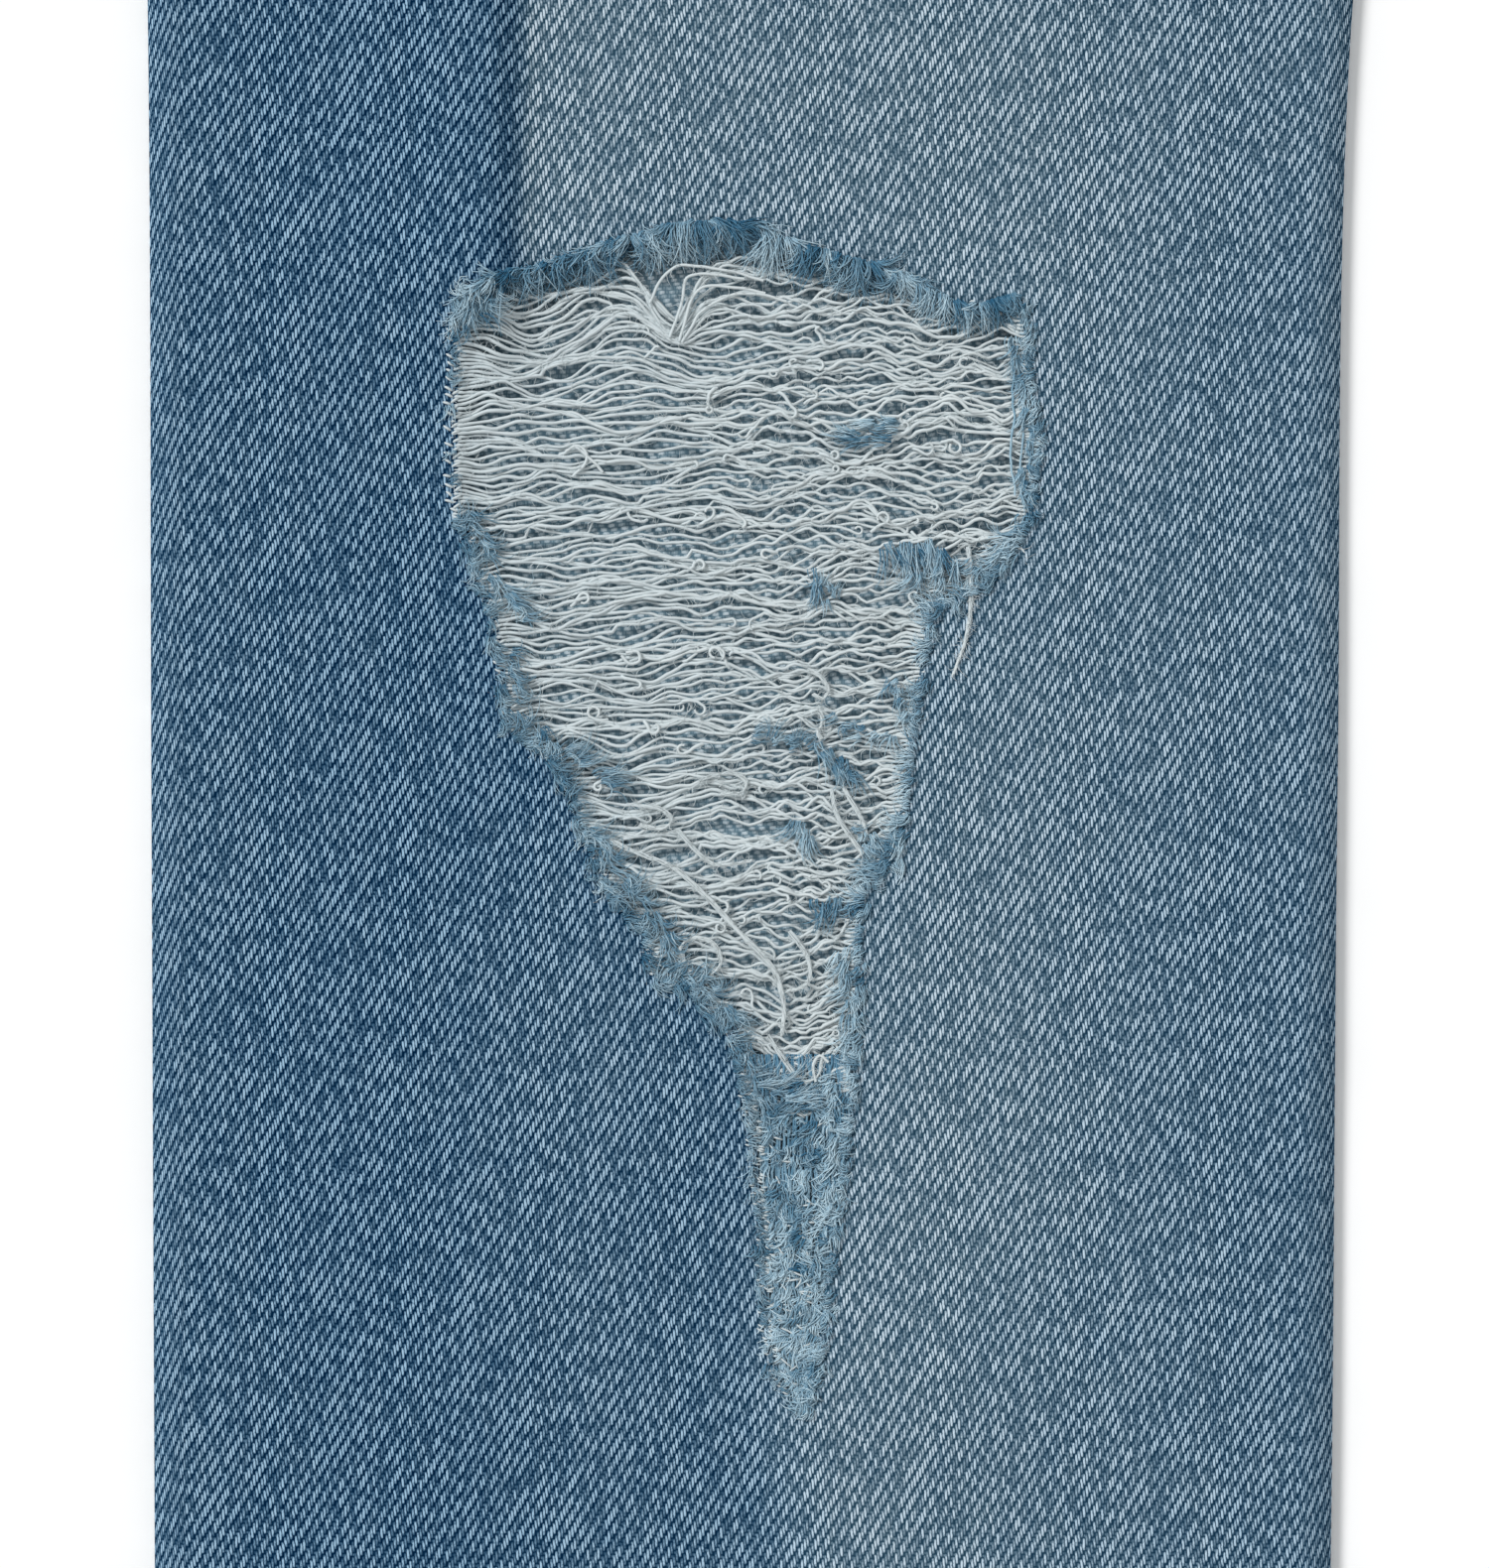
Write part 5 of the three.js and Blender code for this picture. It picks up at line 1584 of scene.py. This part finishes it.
def spinPiece(name, profile, x, y, z, material, steps=56):
    bm = bmesh.new()
    verts = [bm.verts.new((r * mm, 0, h * mm)) for r, h in profile]
    edges = [bm.edges.new(pair) for pair in zip(verts, verts[1:])]
    bmesh.ops.spin(bm, geom=verts + edges, cent=(0, 0, 0), axis=(0, 0, 1), angle=2 * math.pi, steps=steps,
                   use_merge=True)
    bmesh.ops.remove_doubles(bm, verts=bm.verts, dist=0.01 * mm)
    bmesh.ops.recalc_face_normals(bm, faces=bm.faces)
    bmesh.ops.translate(bm, verts=bm.verts, vec=Vector((x, y, z)) * mm)
    piece = placeObject(name, bm)
    piece.data.materials.append(material)
    return piece


# the waist button: rolled rim, a sunk ring with a row of punched pips, and a domed centre
button = {"x": -2, "z": 9.75, "pips": 20, "pipRing": 5.1, "pipRadius": 0.42, "pipHeight": 12.12}
buttonProfile = [
    (0, 0), (3.8, 0), (3.8, 0.9), (8.0, 1.0), (8.4, 1.3), (8.5, 1.8), (8.3, 2.4), (7.8, 2.9), (7.1, 3.1),
    (6.5, 2.9), (6.2, 2.5), (5.2, 2.35), (4.0, 2.4), (3.6, 2.75), (3.0, 3.2), (2.0, 3.35), (1.0, 3.4),
    (0, 3.4),
]
rivetProfile = [
    (0, 0), (4.4, 0), (4.5, 0.25), (4.3, 0.6), (3.6, 0.8), (2.9, 0.72), (2.5, 0.6), (2.1, 0.75), (1.8, 1.1),
    (1.3, 1.3), (0.7, 1.2), (0, 1.05),
]
buttonY = yAt(cut["bandDepth"] / 2 + dipAt(abs(button["x"])))
waistButton = spinPiece("waistButton", buttonProfile, button["x"], buttonY, button["z"], copper)
finishPiece(waistButton, "copper", "waist_button")


def makePips():
    bm = bmesh.new()
    for k in range(button["pips"]):
        angle = 2 * math.pi * k / button["pips"]
        x = button["x"] + button["pipRing"] * math.cos(angle)
        y = buttonY + button["pipRing"] * math.sin(angle)
        bmesh.ops.create_uvsphere(bm, u_segments=8, v_segments=5, radius=button["pipRadius"] * mm,
                                  matrix=Matrix.Translation(Vector((x, y, button["pipHeight"])) * mm))
    piece = placeObject("buttonPips", bm)
    piece.data.materials.append(copper)
    finishPiece(piece, "copper")


makePips()


# rivets where the pockets' mouths end: which pocket corner, which of two, x, and down from the waist
rivets = []
for side, name in sideNames.items():
    rivets += [("waist", name, side * 109, 52 + dipAt(109) * 0.9), ("side", name, side * 213, 130)]
rivets += [("coin", "inner", -coin["inner"] - 6, coin["down"] + 8),
           ("coin", "outer", -coin["outer"] + 6, coin["down"] + 3)]
for corner, which, x, down in rivets:
    name = "rivet" + corner.capitalize() + which.capitalize()
    rivet = spinPiece(name, rivetProfile, x, yAt(down), frontAt(x, yAt(down)) - 0.02, copper, 36)
    finishPiece(rivet, "copper", "rivet_" + corner + "_" + which)

# the closed zip under the fly, its chain down the middle of its tape
zipper = {"middle": -4, "half": 14, "top": 80, "foot": 186, "face": 4.5, "tooth": 1.5}


# a small block with bevelled edges
def addBlock(bm, at, size, bevel, segments):
    place = Matrix.Translation(Vector(at) * mm) @ Matrix.Diagonal(Vector(size) * mm).to_4x4()
    block = bmesh.ops.create_cube(bm, size=1, matrix=place)
    edges = list({e for v in block["verts"] for e in v.link_edges})
    bmesh.ops.bevel(bm, geom=edges, offset=bevel * mm, affect="EDGES", segments=segments, profile=0.5,
                    material=-1)


def makeZip():
    def place(column, row):
        bead = 0.5 * bell(column, 0, 1.6)
        return (zipper["middle"] + column, yAt(row), zipper["face"] - 0.35 + bead), 0, 0.2

    columns = spaced(-zipper["half"], zipper["half"], 1.0)
    tape = makeCloth("zipTape", columns, spaced(zipper["top"], zipper["foot"], 5), place, 0.7)
    finishPiece(tape, "denim", "zip")
    bm = bmesh.new()
    down = zipper["top"] + 26
    while down < zipper["foot"] - 3:
        for side in (-1, 1):
            at = (zipper["middle"] + side * 1.1, yAt(down + (0.75 if side > 0 else 0)), zipper["face"] + 0.15)
            addBlock(bm, at, (2.9, 0.85, 1.1), 0.15, 1)
        down += zipper["tooth"]
    teeth = placeObject("zipTeeth", bm)
    teeth.data.materials.append(brass)
    finishPiece(teeth, "zip_brass")


def makeSlider():
    bm = bmesh.new()
    parts = (((0, 92, 5.55), (8, 11, 1.3)), ((0, 92, 6.2), (2.2, 7, 0.5)), ((0, 103, 5.75), (5, 15, 0.7)))
    for (x, down, z), size in parts:
        addBlock(bm, (zipper["middle"] + x, yAt(down), z), size, 0.22, 2)
    slider = placeObject("zipSlider", bm)
    slider.data.materials.append(brass)
    finishPiece(slider, "zip_brass", "zip_slider")


makeZip()
makeSlider()
print("hardware ready")
